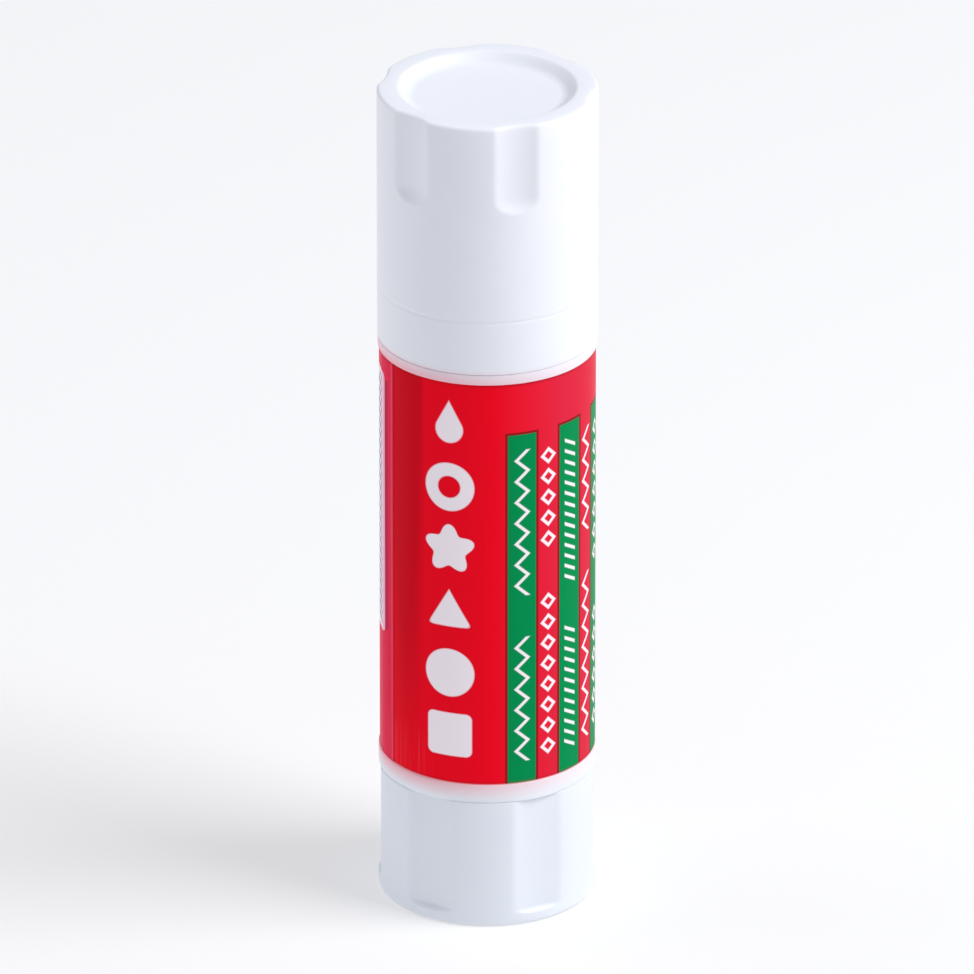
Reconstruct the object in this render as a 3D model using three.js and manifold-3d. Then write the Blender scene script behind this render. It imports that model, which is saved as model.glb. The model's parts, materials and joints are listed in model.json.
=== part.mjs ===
// Twist-up glue stick: a fluted cap, a labelled barrel, a fluted knob, and the drive inside.
// Millimetres, +Z up, with the origin on the axis at the knob's underside.
import * as THREE from 'three';
import { mergeVertices } from 'three/addons/utils/BufferGeometryUtils.js';
import Module from 'manifold-3d';

const wasm = await Module();
wasm.setup();

// How finely round shapes are cut
const OUTER_STEPS = 60;
const INNER_STEPS = 40;
const THREAD_STEPS = 16;
const CORNER_STEPS = 3;
const FLUTE_END_STEPS = 6;
const RECESS_STEPS = 4;

// Clearances
const SEAT_GAP = 0.3;          // between pieces that rest on each other
const RUNNING_GAP = 0.3;       // between pieces that turn or slide in each other
const FILM_GAP = 0.04;         // between the label film and what it lies on
const SLIP_GAP = 0.2;          // between the barrel's neck and the cap
const CUT_OVER = 1;            // how far a cutting shape runs past what it cuts
const JOIN_SINK = 0.4;         // how far a joined shape is sunk into what it joins

// Outside of the cap and the knob
const OUTSIDE_R = 12.8;

// Knob
const KNOB_HEIGHT = 16;
const KNOB_FLOOR = 1.6;
const KNOB_WALL = 1.7;
const KNOB_EDGE = 0.5;
const KNOB_RIM_EDGE = 0.25;
const KNOB_FLUTE_COUNT = 6;
const KNOB_FLUTE_TURN = 27.3;  // degrees from the front, towards +X
const KNOB_FLUTE_DEPTH = 0.75;
const KNOB_FLUTE_SCOOP_R = 10; // radius of the flute's hollow
const KNOB_FLUTE_FOOT = 1.4;   // from the knob's underside to the flutes' lower ends
const KNOB_FLUTE_END = 0.9;    // height and reach of the lower end's curve
const WEB_COUNT = 6;
const WEB_THICKNESS = 0.8;
const HUB_WALL = 1.2;

// Barrel
const COLLAR_INSET = 0.05;     // from the cap's outside to the collars'
const LABEL_INSET = 0.15;      // from the collars' outside to the label's
const LOWER_COLLAR_HEIGHT = 2.15;
const LABEL_HEIGHT = 50.9;
const UPPER_COLLAR_HEIGHT = 1.1;
const COLLAR_EDGE = 0.3;
const NECK_WALL = 0.85;
const NECK_HEIGHT = 11.2;
const NECK_BEAD = 0.1;
const NECK_BEAD_DROP = 4;      // from the mouth down to the bead
const NECK_BEAD_HEIGHT = 1.2;
const MOUTH_EDGE = 0.25;
const BULKHEAD_THICKNESS = 1.6;
const BULKHEAD_DROP = 2.8;     // from the knob's top down to the bulkhead's upper face
const SKIRT_WALL = 1.4;
const SKIRT_LIFT = 2.4;        // from the knob's floor to the skirt's lower end
const SKIRT_BEAD = 0.3;
const SKIRT_BEAD_RISE = 1.8;
const SKIRT_BEAD_HEIGHT = 1.2;
const RIB_COUNT = 4;
const RIB_HEIGHT = 0.5;
const RIB_WIDTH = 1.2;
const RIB_STOP = 2.5;          // from the mouth down to the ribs' upper ends

// Label film
const FILM = 0.1;
const LAP_TURN = -61.5;        // degrees from the front to the lapped end, towards +X
const LAP_WIDTH = 3.2;

// Cap
const CAP_HEIGHT = 30.75;
const CAP_WALL = 1.45;
const CAP_EDGE = 0.3;
const CAP_RIM_EDGE = 0.8;
const CAP_RIM_WIDTH = 1.8;     // from the cap's outside to where the recess starts to fall
const CAP_TOP_WALL = 1.3;
const RECESS_SLOPE = 1.3;      // how far inwards the recess's wall runs
const RECESS_DEPTH = 1.1;
const CAP_LINE_RISE = 6.3;     // from the cap's lower edge to the fine line
const CAP_LINE_WIDTH = 0.5;
const CAP_LINE_DEPTH = 0.15;
const CAP_FLUTE_COUNT = 6;
const CAP_FLUTE_TURN = 14.7;
const CAP_FLUTE_DEPTH = 0.85;
const CAP_FLUTE_SCOOP_R = 7.8; // radius of the flute's hollow
const CAP_FLUTE_LENGTH = 10.8;
const CAP_FLUTE_END = 4.9;     // height of the lower end's curve, which reaches the hollow's middle

// Sealing cup inside the cap
const SEAL_WALL = 0.65;
const SEAL_TOP = 0.9;
const SEAL_LIP = 0.3;

// Spindle and its thread
const LEAD = 5;
const THREAD_HAND = -1;        // left-handed: the knob's front turns towards +X to raise the glue
const ROOT_R = 2.5;
const THREAD_DEPTH = 1;
const THREAD_ROOT_HALF = 1.3;
const THREAD_CREST_HALF = 0.8;
const JOURNAL_R = 3;
const FLANGE_R = 6;
const FLANGE_THICKNESS = 1.2;
const SNAP_REACH = 0.75;
const SNAP_HEIGHT = 1.1;
const SHANK_WIDTH = 4.2;
const TIP_DROP = 5;            // from the mouth down to the spindle's tip
const TIP_EDGE = 0.6;

// Carrier and glue
const PLATFORM_THICKNESS = 1.4;
const CARRIER_WALL = 0.8;
const CARRIER_RIM = 3;
const CARRIER_SKIRT = 4.5;
const NUT_WALL = 1.5;
const NUT_LENGTH = 7;
const GLUE_LEFT = 18.6;        // length of glue above the platform
const GLUE_DROP = 0.4;         // from the mouth down to the glue's top
const GLUE_GAP = 0.4;
const GLUE_EDGE = 0.7;

// Levels up the axis
const KNOB_TOP = KNOB_HEIGHT;
const LOWER_COLLAR_FOOT = KNOB_TOP + SEAT_GAP;
const LABEL_FOOT = LOWER_COLLAR_FOOT + LOWER_COLLAR_HEIGHT;
const LABEL_TOP = LABEL_FOOT + LABEL_HEIGHT;
const SHOULDER = LABEL_TOP + UPPER_COLLAR_HEIGHT;
const MOUTH = SHOULDER + NECK_HEIGHT;
const CAP_FOOT = SHOULDER + SEAT_GAP;
const CAP_TOP = CAP_FOOT + CAP_HEIGHT;
const CAP_CEILING = CAP_TOP - RECESS_DEPTH - CAP_TOP_WALL;
const BULKHEAD_TOP = KNOB_TOP - BULKHEAD_DROP;
const BULKHEAD_FOOT = BULKHEAD_TOP - BULKHEAD_THICKNESS;
const SKIRT_FOOT = KNOB_FLOOR + SKIRT_LIFT;
const SNAP_TOP = BULKHEAD_FOOT - SEAT_GAP;
const SNAP_FOOT = SNAP_TOP - SNAP_HEIGHT;
const HUB_TOP = SNAP_FOOT - SEAT_GAP;
const FLANGE_FOOT = BULKHEAD_TOP + SEAT_GAP;
const FLANGE_TOP = FLANGE_FOOT + FLANGE_THICKNESS;
const THREAD_START = FLANGE_TOP + THREAD_ROOT_HALF + SEAT_GAP;
const SPINDLE_TIP = MOUTH - TIP_DROP;
const GLUE_TOP = MOUTH - GLUE_DROP;
const GLUE_FOOT = GLUE_TOP - GLUE_LEFT;
const PLATFORM_TOP = GLUE_FOOT - SEAT_GAP;

// Radii that follow from the fits
const COLLAR_R = OUTSIDE_R - COLLAR_INSET;
const LABEL_R = COLLAR_R - LABEL_INSET;
const BODY_R = LABEL_R - FILM - FILM_GAP;
const CAP_BORE_R = OUTSIDE_R - CAP_WALL;
const NECK_R = CAP_BORE_R - SLIP_GAP;
const BORE_R = NECK_R - NECK_WALL;
const RECESS_R = OUTSIDE_R - CAP_RIM_WIDTH;
const KNOB_BORE_R = OUTSIDE_R - KNOB_WALL;
const SKIRT_R = KNOB_BORE_R - RUNNING_GAP;
const BULKHEAD_BORE_R = JOURNAL_R + RUNNING_GAP;
const CARRIER_R = BORE_R - RUNNING_GAP;
const CUP_R = CARRIER_R - CARRIER_WALL;
const GLUE_R = BORE_R - GLUE_GAP;
const GLUE_FOOT_R = CUP_R - SEAT_GAP;
const CREST_R = ROOT_R + THREAD_DEPTH;
const NUT_BORE_R = CREST_R + RUNNING_GAP;
const NUT_R = NUT_BORE_R + NUT_WALL;
const GLUE_BORE_R = NUT_BORE_R;
const RIB_R = BORE_R - RIB_HEIGHT;
const SEAL_R = CAP_BORE_R - SEAT_GAP;
const SEAL_BORE_R = SEAL_R - SEAL_WALL;
const SOCKET_WIDTH = SHANK_WIDTH + 2 * SEAT_GAP;
const HUB_R = SOCKET_WIDTH / Math.SQRT2 + HUB_WALL;
const THREAD_SLOPE = (THREAD_ROOT_HALF - THREAD_CREST_HALF) / THREAD_DEPTH;

// A geometry as a solid that can be joined and cut
function solid(geometry) {
  const bare = geometry.clone();
  bare.deleteAttribute('normal');
  bare.deleteAttribute('uv');
  const merged = mergeVertices(bare, 1e-4);
  return new wasm.Manifold(new wasm.Mesh({
    numProp: 3,
    vertProperties: new Float32Array(merged.attributes.position.array),
    triVerts: new Uint32Array(merged.index.array),
  }));
}

// A solid back as a geometry with flat faces
function geometryOf(body) {
  const mesh = body.getMesh();
  const geometry = new THREE.BufferGeometry();
  geometry.setAttribute('position', new THREE.BufferAttribute(mesh.vertProperties, 3));
  geometry.setIndex(new THREE.BufferAttribute(mesh.triVerts, 1));
  return geometry;
}

// A closed outline of [radius, height] points, listed anticlockwise, turned about the Z axis
function turned(outline, steps) {
  const points = [...outline, outline[0]].map(([r, z]) => new THREE.Vector2(r, z));
  return new THREE.LatheGeometry(points, steps).rotateX(Math.PI / 2);
}

// The points of a rounded edge on the outside of an outline: the upper one goes up and in to the level z,
// and the lower one goes out and up from it
function roundedEdge(r, z, radius, isUpper) {
  const points = [];
  for (let i = 0; i <= CORNER_STEPS; i += 1) {
    const angle = (i / CORNER_STEPS - (isUpper ? 0 : 1)) * Math.PI / 2;
    const middle = isUpper ? z - radius : z + radius;
    points.push([r - radius + radius * Math.cos(angle), middle + radius * Math.sin(angle)]);
  }
  return points;
}

// The points of the cap's recess wall, which falls in one smooth sweep to the floor
function recessWall() {
  const points = [];
  for (let i = 0; i <= RECESS_STEPS; i += 1) {
    const run = i / RECESS_STEPS;
    const fall = (1 - Math.cos(Math.PI * run)) / 2;
    points.push([RECESS_R - RECESS_SLOPE * run, CAP_TOP - RECESS_DEPTH * fall]);
  }
  return points;
}

// A box given by its size and the middle of its underside
function block(width, depth, height, x, y, z) {
  return new THREE.BoxGeometry(width, depth, height).translate(x, y, z + height / 2);
}

// A solid repeated evenly about the Z axis; turn is in degrees from the front, towards +X
function around(body, count, turn = 0) {
  const copies = [];
  for (let i = 0; i < count; i += 1) {
    copies.push(body.rotate([0, 0, turn + i * 360 / count]));
  }
  return copies;
}

function cutAll(body, cutters) {
  return cutters.reduce((left, cutter) => left.subtract(cutter), body);
}

function joinAll(body, parts) {
  return parts.reduce((joined, part) => joined.add(part), body);
}

// A ridge of trapezoid section wound up a screw: section points are [radius, height from its middle]
function helix(section, foot, turns) {
  const steps = Math.round(turns * THREAD_STEPS);
  const sides = section.length;
  const positions = [];
  for (let step = 0; step <= steps; step += 1) {
    const angle = THREAD_HAND * step * 2 * Math.PI / THREAD_STEPS;
    const middle = foot + LEAD * step / THREAD_STEPS;
    for (const [r, rise] of section) {
      positions.push(r * Math.cos(angle), r * Math.sin(angle), middle + rise);
    }
  }
  const faces = [];
  for (let step = 0; step < steps; step += 1) {
    for (let side = 0; side < sides; side += 1) {
      const a = step * sides + side;
      const b = step * sides + (side + 1) % sides;
      faces.push(a, b, b + sides, a, b + sides, a + sides);
    }
  }
  const last = steps * sides;
  for (let side = 1; side < sides - 1; side += 1) {
    faces.push(0, side + 1, side);
    faces.push(last, last + side, last + side + 1);
  }
  const geometry = new THREE.BufferGeometry();
  geometry.setAttribute('position', new THREE.Float32BufferAttribute(positions, 3));
  geometry.setIndex(faces);
  return geometry;
}

// What cuts a flute: a round bar that stands in front of the wall, with its lower end curved in, so that
// the flute is hollow across and its lower end runs out. It faces -Y and goes from foot to past the top.
function fluteCutter({ depth, scoopR, endReach, endHeight, foot, top }) {
  const runOut = endHeight * Math.sqrt(1 - (1 - depth / endReach) ** 2);
  const straight = foot + runOut;
  const outline = [];
  for (let i = 0; i <= FLUTE_END_STEPS; i += 1) {
    const angle = i * Math.PI / 2 / FLUTE_END_STEPS;
    outline.push([scoopR - endReach * (1 - Math.sin(angle)), straight - endHeight * Math.cos(angle)]);
  }
  outline.push([scoopR, top + CUT_OVER], [0, top + CUT_OVER]);
  if (endReach < scoopR) {
    outline.push([0, straight - endHeight]);
  }
  return solid(turned(outline, OUTER_STEPS).translate(0, depth - OUTSIDE_R - scoopR, 0));
}

function makeKnob() {
  const grooveR = KNOB_BORE_R + SKIRT_BEAD;
  const grooveFoot = SKIRT_FOOT + SKIRT_BEAD_RISE - SEAT_GAP;
  const grooveTop = grooveFoot + SKIRT_BEAD_HEIGHT + 2 * SEAT_GAP;
  const shell = solid(turned([
    [0, 0],
    ...roundedEdge(OUTSIDE_R, 0, KNOB_EDGE, false),
    [OUTSIDE_R, KNOB_TOP - KNOB_RIM_EDGE],
    [OUTSIDE_R - KNOB_RIM_EDGE, KNOB_TOP],
    [KNOB_BORE_R, KNOB_TOP],
    [KNOB_BORE_R, grooveTop],
    [grooveR, grooveTop - SKIRT_BEAD],
    [grooveR, grooveFoot + SKIRT_BEAD],
    [KNOB_BORE_R, grooveFoot],
    [KNOB_BORE_R, KNOB_FLOOR],
    [0, KNOB_FLOOR],
  ], OUTER_STEPS));
  const hub = solid(turned([
    [0, KNOB_FLOOR - JOIN_SINK],
    [HUB_R, KNOB_FLOOR - JOIN_SINK],
    [HUB_R, HUB_TOP],
    [0, HUB_TOP],
  ], INNER_STEPS));
  const socket = solid(block(SOCKET_WIDTH, SOCKET_WIDTH, HUB_TOP - KNOB_FLOOR + CUT_OVER, 0, 0, KNOB_FLOOR));
  const webFoot = KNOB_FLOOR - JOIN_SINK;
  const webStart = HUB_R - JOIN_SINK;
  const webEnd = KNOB_BORE_R + JOIN_SINK;
  const web = solid(block(webEnd - webStart, WEB_THICKNESS, SKIRT_FOOT - SEAT_GAP - webFoot,
    (webStart + webEnd) / 2, 0, webFoot));
  const flute = fluteCutter({
    depth: KNOB_FLUTE_DEPTH,
    scoopR: KNOB_FLUTE_SCOOP_R,
    endReach: KNOB_FLUTE_END,
    endHeight: KNOB_FLUTE_END,
    foot: KNOB_FLUTE_FOOT,
    top: KNOB_TOP,
  });
  const full = joinAll(shell.add(hub), around(web, WEB_COUNT)).subtract(socket);
  return geometryOf(cutAll(full, around(flute, KNOB_FLUTE_COUNT, KNOB_FLUTE_TURN)));
}

function makeBarrel() {
  const skirtBoreR = SKIRT_R - SKIRT_WALL;
  const beadR = SKIRT_R + SKIRT_BEAD;
  const beadFoot = SKIRT_FOOT + SKIRT_BEAD_RISE;
  const beadTop = beadFoot + SKIRT_BEAD_HEIGHT;
  const neckBeadTop = MOUTH - NECK_BEAD_DROP;
  const neckBeadFoot = neckBeadTop - NECK_BEAD_HEIGHT;
  const tube = solid(turned([
    [skirtBoreR, SKIRT_FOOT],
    [SKIRT_R - SKIRT_BEAD, SKIRT_FOOT],
    [SKIRT_R, SKIRT_FOOT + SKIRT_BEAD],
    [SKIRT_R, beadFoot],
    [beadR, beadFoot + SKIRT_BEAD],
    [beadR, beadTop - SKIRT_BEAD],
    [SKIRT_R, beadTop],
    [SKIRT_R, LOWER_COLLAR_FOOT],
    [COLLAR_R - COLLAR_EDGE, LOWER_COLLAR_FOOT],
    [COLLAR_R, LOWER_COLLAR_FOOT + COLLAR_EDGE],
    [COLLAR_R, LABEL_FOOT],
    [BODY_R, LABEL_FOOT],
    [BODY_R, LABEL_TOP],
    [COLLAR_R - COLLAR_EDGE, LABEL_TOP],
    [COLLAR_R, LABEL_TOP + COLLAR_EDGE],
    [COLLAR_R, SHOULDER - COLLAR_EDGE / 2],
    [COLLAR_R - COLLAR_EDGE / 2, SHOULDER],
    [NECK_R, SHOULDER],
    [NECK_R, neckBeadFoot],
    [NECK_R + NECK_BEAD, neckBeadFoot + NECK_BEAD],
    [NECK_R + NECK_BEAD, neckBeadTop - NECK_BEAD],
    [NECK_R, neckBeadTop],
    [NECK_R, MOUTH - MOUTH_EDGE],
    [NECK_R - MOUTH_EDGE, MOUTH],
    [BORE_R + MOUTH_EDGE, MOUTH],
    [BORE_R, MOUTH - MOUTH_EDGE],
    [BORE_R, BULKHEAD_TOP],
    [BULKHEAD_BORE_R, BULKHEAD_TOP],
    [BULKHEAD_BORE_R, BULKHEAD_FOOT],
    [skirtBoreR, BULKHEAD_FOOT],
  ], OUTER_STEPS));
  const ribDepth = RIB_HEIGHT + JOIN_SINK;
  const ribFoot = BULKHEAD_TOP - JOIN_SINK;
  const rib = solid(block(ribDepth, RIB_WIDTH, MOUTH - RIB_STOP - ribFoot,
    RIB_R + ribDepth / 2, 0, ribFoot));
  return geometryOf(joinAll(tube, around(rib, RIB_COUNT)));
}

// The film's section is a ring cut open, whose end laps over its start
function makeLabel() {
  const lap = LAP_WIDTH / LABEL_R;
  const start = THREE.MathUtils.degToRad(LAP_TURN - 90) - lap;
  const stepTurn = 2 * Math.PI / OUTER_STEPS;
  const lapSteps = Math.max(2, Math.round(lap / stepTurn));
  const rise = FILM + FILM_GAP;
  const path = [];
  for (let i = 0; i <= OUTER_STEPS - 1; i += 1) {
    path.push([start + i * stepTurn, LABEL_R]);
  }
  for (let i = 0; i <= lapSteps; i += 1) {
    path.push([start + i * lap / lapSteps, LABEL_R + rise]);
  }
  const outer = path.map(([angle, r]) => new THREE.Vector2(r * Math.cos(angle), r * Math.sin(angle)));
  const inner = path.map(([angle, r]) => new THREE.Vector2((r - FILM) * Math.cos(angle),
    (r - FILM) * Math.sin(angle)));
  const section = new THREE.Shape([...outer, ...inner.reverse()]);
  const film = new THREE.ExtrudeGeometry(section, {
    depth: LABEL_HEIGHT - 2 * FILM_GAP,
    bevelEnabled: false,
  });
  return geometryOf(solid(film.translate(0, 0, LABEL_FOOT + FILM_GAP)));
}

function makeCap() {
  const lineFoot = CAP_FOOT + CAP_LINE_RISE;
  const shell = solid(turned([
    [CAP_BORE_R, CAP_FOOT],
    [OUTSIDE_R - CAP_EDGE, CAP_FOOT],
    [OUTSIDE_R, CAP_FOOT + CAP_EDGE],
    [OUTSIDE_R, lineFoot],
    [OUTSIDE_R - CAP_LINE_DEPTH, lineFoot + CAP_LINE_WIDTH / 2],
    [OUTSIDE_R, lineFoot + CAP_LINE_WIDTH],
    ...roundedEdge(OUTSIDE_R, CAP_TOP, CAP_RIM_EDGE, true),
    ...recessWall(),
    [0, CAP_TOP - RECESS_DEPTH],
    [0, CAP_CEILING],
    [CAP_BORE_R - CAP_EDGE, CAP_CEILING],
    [CAP_BORE_R, CAP_CEILING - CAP_EDGE],
  ], OUTER_STEPS));
  const flute = fluteCutter({
    depth: CAP_FLUTE_DEPTH,
    scoopR: CAP_FLUTE_SCOOP_R,
    endReach: CAP_FLUTE_SCOOP_R,
    endHeight: CAP_FLUTE_END,
    foot: CAP_TOP - CAP_FLUTE_LENGTH,
    top: CAP_TOP,
  });
  return geometryOf(cutAll(shell, around(flute, CAP_FLUTE_COUNT, CAP_FLUTE_TURN)));
}

function makeCapSeal() {
  const foot = MOUTH + SEAT_GAP;
  const top = CAP_CEILING - SEAT_GAP;
  return turned([
    [SEAL_BORE_R + SEAL_LIP, foot],
    [SEAL_R, foot],
    [SEAL_R, top - CAP_EDGE],
    [SEAL_R - CAP_EDGE, top],
    [0, top],
    [0, top - SEAL_TOP],
    [SEAL_BORE_R - SEAL_LIP, top - SEAL_TOP],
    [SEAL_BORE_R, top - SEAL_TOP - SEAL_LIP],
    [SEAL_BORE_R, foot + SEAL_LIP],
  ], INNER_STEPS);
}

function makeSpindle() {
  const snapR = JOURNAL_R + SNAP_REACH;
  const rod = solid(turned([
    [0, SNAP_FOOT],
    [JOURNAL_R, SNAP_FOOT],
    [snapR, SNAP_TOP - SNAP_HEIGHT / 3],
    [snapR, SNAP_TOP],
    [JOURNAL_R, SNAP_TOP],
    [JOURNAL_R, FLANGE_FOOT],
    [FLANGE_R, FLANGE_FOOT],
    [FLANGE_R, FLANGE_TOP],
    [ROOT_R, FLANGE_TOP],
    [ROOT_R, SPINDLE_TIP - TIP_EDGE],
    [ROOT_R - TIP_EDGE, SPINDLE_TIP],
    [0, SPINDLE_TIP],
  ], THREAD_STEPS));
  const shankFoot = KNOB_FLOOR + SEAT_GAP;
  const shankTop = SNAP_FOOT + JOIN_SINK;
  const shank = solid(block(SHANK_WIDTH, SHANK_WIDTH, shankTop - shankFoot, 0, 0, shankFoot));
  const threadTop = SPINDLE_TIP - TIP_EDGE - THREAD_ROOT_HALF;
  const sunkHalf = THREAD_ROOT_HALF + THREAD_SLOPE * JOIN_SINK;
  const thread = solid(helix([
    [ROOT_R - JOIN_SINK, -sunkHalf],
    [CREST_R, -THREAD_CREST_HALF],
    [CREST_R, THREAD_CREST_HALF],
    [ROOT_R - JOIN_SINK, sunkHalf],
  ], THREAD_START, (threadTop - THREAD_START) / LEAD));
  return geometryOf(rod.add(shank).add(thread));
}

// The nut's ridge fills the space between the spindle's threads, less a running gap on every side.
// Its middle passes half a lead above the spindle's thread at the same angle.
function nutRidge(foot, top) {
  const halfAt = (r) => LEAD / 2 - RUNNING_GAP - THREAD_ROOT_HALF + THREAD_SLOPE * (r - ROOT_R);
  const crest = ROOT_R + RUNNING_GAP;
  const sunk = NUT_BORE_R + JOIN_SINK;
  const stepRise = LEAD / THREAD_STEPS;
  const firstMiddle = THREAD_START + LEAD / 2;
  const firstStep = Math.ceil((foot + halfAt(sunk) - firstMiddle) / stepRise);
  const start = firstMiddle + firstStep * stepRise;
  const turns = Math.floor((top - halfAt(sunk) - start) / stepRise) / THREAD_STEPS;
  const ridge = helix([
    [crest, -halfAt(crest)],
    [sunk, -halfAt(sunk)],
    [sunk, halfAt(sunk)],
    [crest, halfAt(crest)],
  ], start, turns);
  return solid(ridge.rotateZ(THREAD_HAND * firstStep * 2 * Math.PI / THREAD_STEPS));
}

// Notches that let the carrier and the glue pass the barrel's ribs
function ribNotches(foot, top) {
  const depth = BORE_R - RIB_R + RUNNING_GAP;
  const notch = solid(block(depth + CUT_OVER, RIB_WIDTH + 2 * RUNNING_GAP, top - foot,
    RIB_R - RUNNING_GAP + (depth + CUT_OVER) / 2, 0, foot));
  return around(notch, RIB_COUNT);
}

function makeCarrier() {
  const platformFoot = PLATFORM_TOP - PLATFORM_THICKNESS;
  const nutFoot = platformFoot - NUT_LENGTH;
  const skirtFoot = platformFoot - CARRIER_SKIRT;
  const rimTop = PLATFORM_TOP + CARRIER_RIM;
  const cup = solid(turned([
    [NUT_BORE_R, nutFoot],
    [NUT_R, nutFoot],
    [NUT_R, platformFoot],
    [CUP_R, platformFoot],
    [CUP_R, skirtFoot],
    [CARRIER_R, skirtFoot],
    [CARRIER_R, rimTop],
    [CUP_R, rimTop],
    [CUP_R, PLATFORM_TOP],
    [NUT_BORE_R, PLATFORM_TOP],
  ], INNER_STEPS));
  const threaded = cup.add(nutRidge(nutFoot, PLATFORM_TOP));
  return geometryOf(cutAll(threaded, ribNotches(skirtFoot - CUT_OVER, rimTop + CUT_OVER)));
}

function makeGlue() {
  const shoulder = PLATFORM_TOP + CARRIER_RIM + SEAT_GAP;
  const column = solid(turned([
    [GLUE_BORE_R, GLUE_FOOT],
    [GLUE_FOOT_R, GLUE_FOOT],
    [GLUE_FOOT_R, shoulder],
    [GLUE_R, shoulder],
    ...roundedEdge(GLUE_R, GLUE_TOP, GLUE_EDGE, true),
    [GLUE_BORE_R, GLUE_TOP],
  ], INNER_STEPS));
  return geometryOf(cutAll(column, ribNotches(shoulder - CUT_OVER, GLUE_TOP + CUT_OVER)));
}

function material(color, roughness) {
  return new THREE.MeshStandardMaterial({ color, roughness, metalness: 0 });
}

const whitePlastic = material(0xeef0f6, 0.35);
const sealPlastic = material(0xe6e8ec, 0.45);
const labelFilm = material(0xe0112a, 0.3);
const gluePaste = material(0xf4f2ea, 0.5);

function piece(name, geometry, surface) {
  const mesh = new THREE.Mesh(geometry, surface);
  mesh.name = name;
  return mesh;
}

const glueStick = new THREE.Group();
glueStick.add(
  piece('knob', makeKnob(), whitePlastic),
  piece('spindle', makeSpindle(), whitePlastic),
  piece('barrel', makeBarrel(), whitePlastic),
  piece('label', makeLabel(), labelFilm),
  piece('carrier', makeCarrier(), whitePlastic),
  piece('glue', makeGlue(), gluePaste),
  piece('cap_seal', makeCapSeal(), sealPlastic),
  piece('cap', makeCap(), whitePlastic),
);

export default glueStick;
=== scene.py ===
# Glue stick: the finished look of every piece, with its floor, lights and camera.
# Lengths are in metres on the frame's axes: +Z up the stick's axis, -Y towards the label's front.
# A turn is an angle about the axis, counted from the front towards +X.
# The functions that work out the label's print measure it in millimetres, along the film and up it.
import json
import math

import bmesh
import bpy
from bpy.props import FloatProperty, FloatVectorProperty, IntProperty, PointerProperty
from mathutils import Matrix, Vector


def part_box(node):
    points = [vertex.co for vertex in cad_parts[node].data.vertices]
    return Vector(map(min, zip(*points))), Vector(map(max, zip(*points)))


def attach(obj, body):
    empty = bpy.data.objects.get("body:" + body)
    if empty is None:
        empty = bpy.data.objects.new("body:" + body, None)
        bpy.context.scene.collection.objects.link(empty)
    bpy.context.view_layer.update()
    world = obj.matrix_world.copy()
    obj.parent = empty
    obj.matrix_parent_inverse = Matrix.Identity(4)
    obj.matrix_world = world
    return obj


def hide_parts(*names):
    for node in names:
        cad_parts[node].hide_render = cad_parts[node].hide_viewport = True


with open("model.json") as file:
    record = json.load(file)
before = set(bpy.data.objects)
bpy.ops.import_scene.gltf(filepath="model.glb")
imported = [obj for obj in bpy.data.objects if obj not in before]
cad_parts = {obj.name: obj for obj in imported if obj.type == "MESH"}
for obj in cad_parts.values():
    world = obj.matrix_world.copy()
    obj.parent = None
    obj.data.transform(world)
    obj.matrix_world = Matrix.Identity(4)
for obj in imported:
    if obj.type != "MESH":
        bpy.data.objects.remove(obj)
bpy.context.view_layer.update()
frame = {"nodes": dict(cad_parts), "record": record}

bl_info = {
    "name": "Glue stick",
    "version": (1, 0, 0),
    "blender": (4, 5, 0),
    "location": "3D View > Sidebar > Glue stick",
    "description": "Builds a twist-up glue stick, its finishes and its studio",
    "category": "Object",
}

MM = 0.001

# Levels and radii that the frame's pieces give
CAP_LOW, CAP_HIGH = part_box("cap")
KNOB_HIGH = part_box("knob")[1]
BARREL_LOW, BARREL_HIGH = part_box("barrel")
LABEL_LOW, LABEL_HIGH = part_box("label")
SEAL_LOW, SEAL_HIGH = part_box("cap_seal")
SPINDLE_LOW, SPINDLE_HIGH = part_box("spindle")
CARRIER_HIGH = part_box("carrier")[1]
GLUE_LOW, GLUE_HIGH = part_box("glue")
OUTSIDE_R = KNOB_HIGH.x
COLLAR_R = BARREL_HIGH.x
KNOB_TOP = KNOB_HIGH.z
CAP_TOP = CAP_HIGH.z
MOUTH = BARREL_HIGH.z

# What the seams and the film need besides the solids' own levels
FILM_INSET = 0.15 * MM          # how far the film lies inside the collars' outside
FILM_DROP = 0.2 * MM            # how much lower the film ends than its solid
CAP_DROP = 0.15 * MM            # how much lower the cap ends than its solid
FILM_R = COLLAR_R - FILM_INSET
FILM_FOOT = LABEL_LOW.z - FILM_DROP
CAP_FOOT = CAP_LOW.z - CAP_DROP
PRINT_R = FILM_R / MM           # the film's radius in the print's millimetres

# What the record says of each node, and how far the spindle's thread climbs in a turn
RECORD = frame["record"]
BODY_OF = {node: body for body, nodes in RECORD["behaviour"]["bodies"].items() for node in nodes}
LEAD = RECORD["behaviour"]["couplings"][0]["ratio"] * 2 * math.pi

# How finely the pieces are cut
FLUTED_STEPS = 720
ROUND_STEPS = 360
SMALL_STEPS = 96
THREAD_STEPS = 48               # steps in one turn of the spindle's thread
SECTORS = 8                     # equal parts that a turned solid is made of, and a power of two
EDGE_SEGMENTS = 5
BLOCK_SEGMENTS = 2              # steps in the rounding of a block's edges
FILM_ROWS = 6                   # steps up the film
FLOOR_STEPS = 128
FLUTE_ROW = 0.08 * MM           # between rows of points round a flute's lower end
WALL_ROW = 2 * MM               # between rows of points in the fluted wall above
CREASE_ANGLE = math.radians(50)
MERGE_DISTANCE = 1e-6           # points that are closer become one
CUT_DISTANCE = 1e-8             # points that are closer to a cut's plane lie in it
NEARLY = 1.01                   # stretches a length that places are tested against, past rounding errors

# How shapes run into each other
FLUTE_COUNT = 6
FLUTE_SOFTNESS = 0.18 * MM      # width over which a flute's edge is run together with the wall
JOIN_SINK = 0.4 * MM            # how far a joined shape is sunk into what it joins
LAP_RAMP = 1.0 * MM             # length over which the film climbs onto its own start

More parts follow.
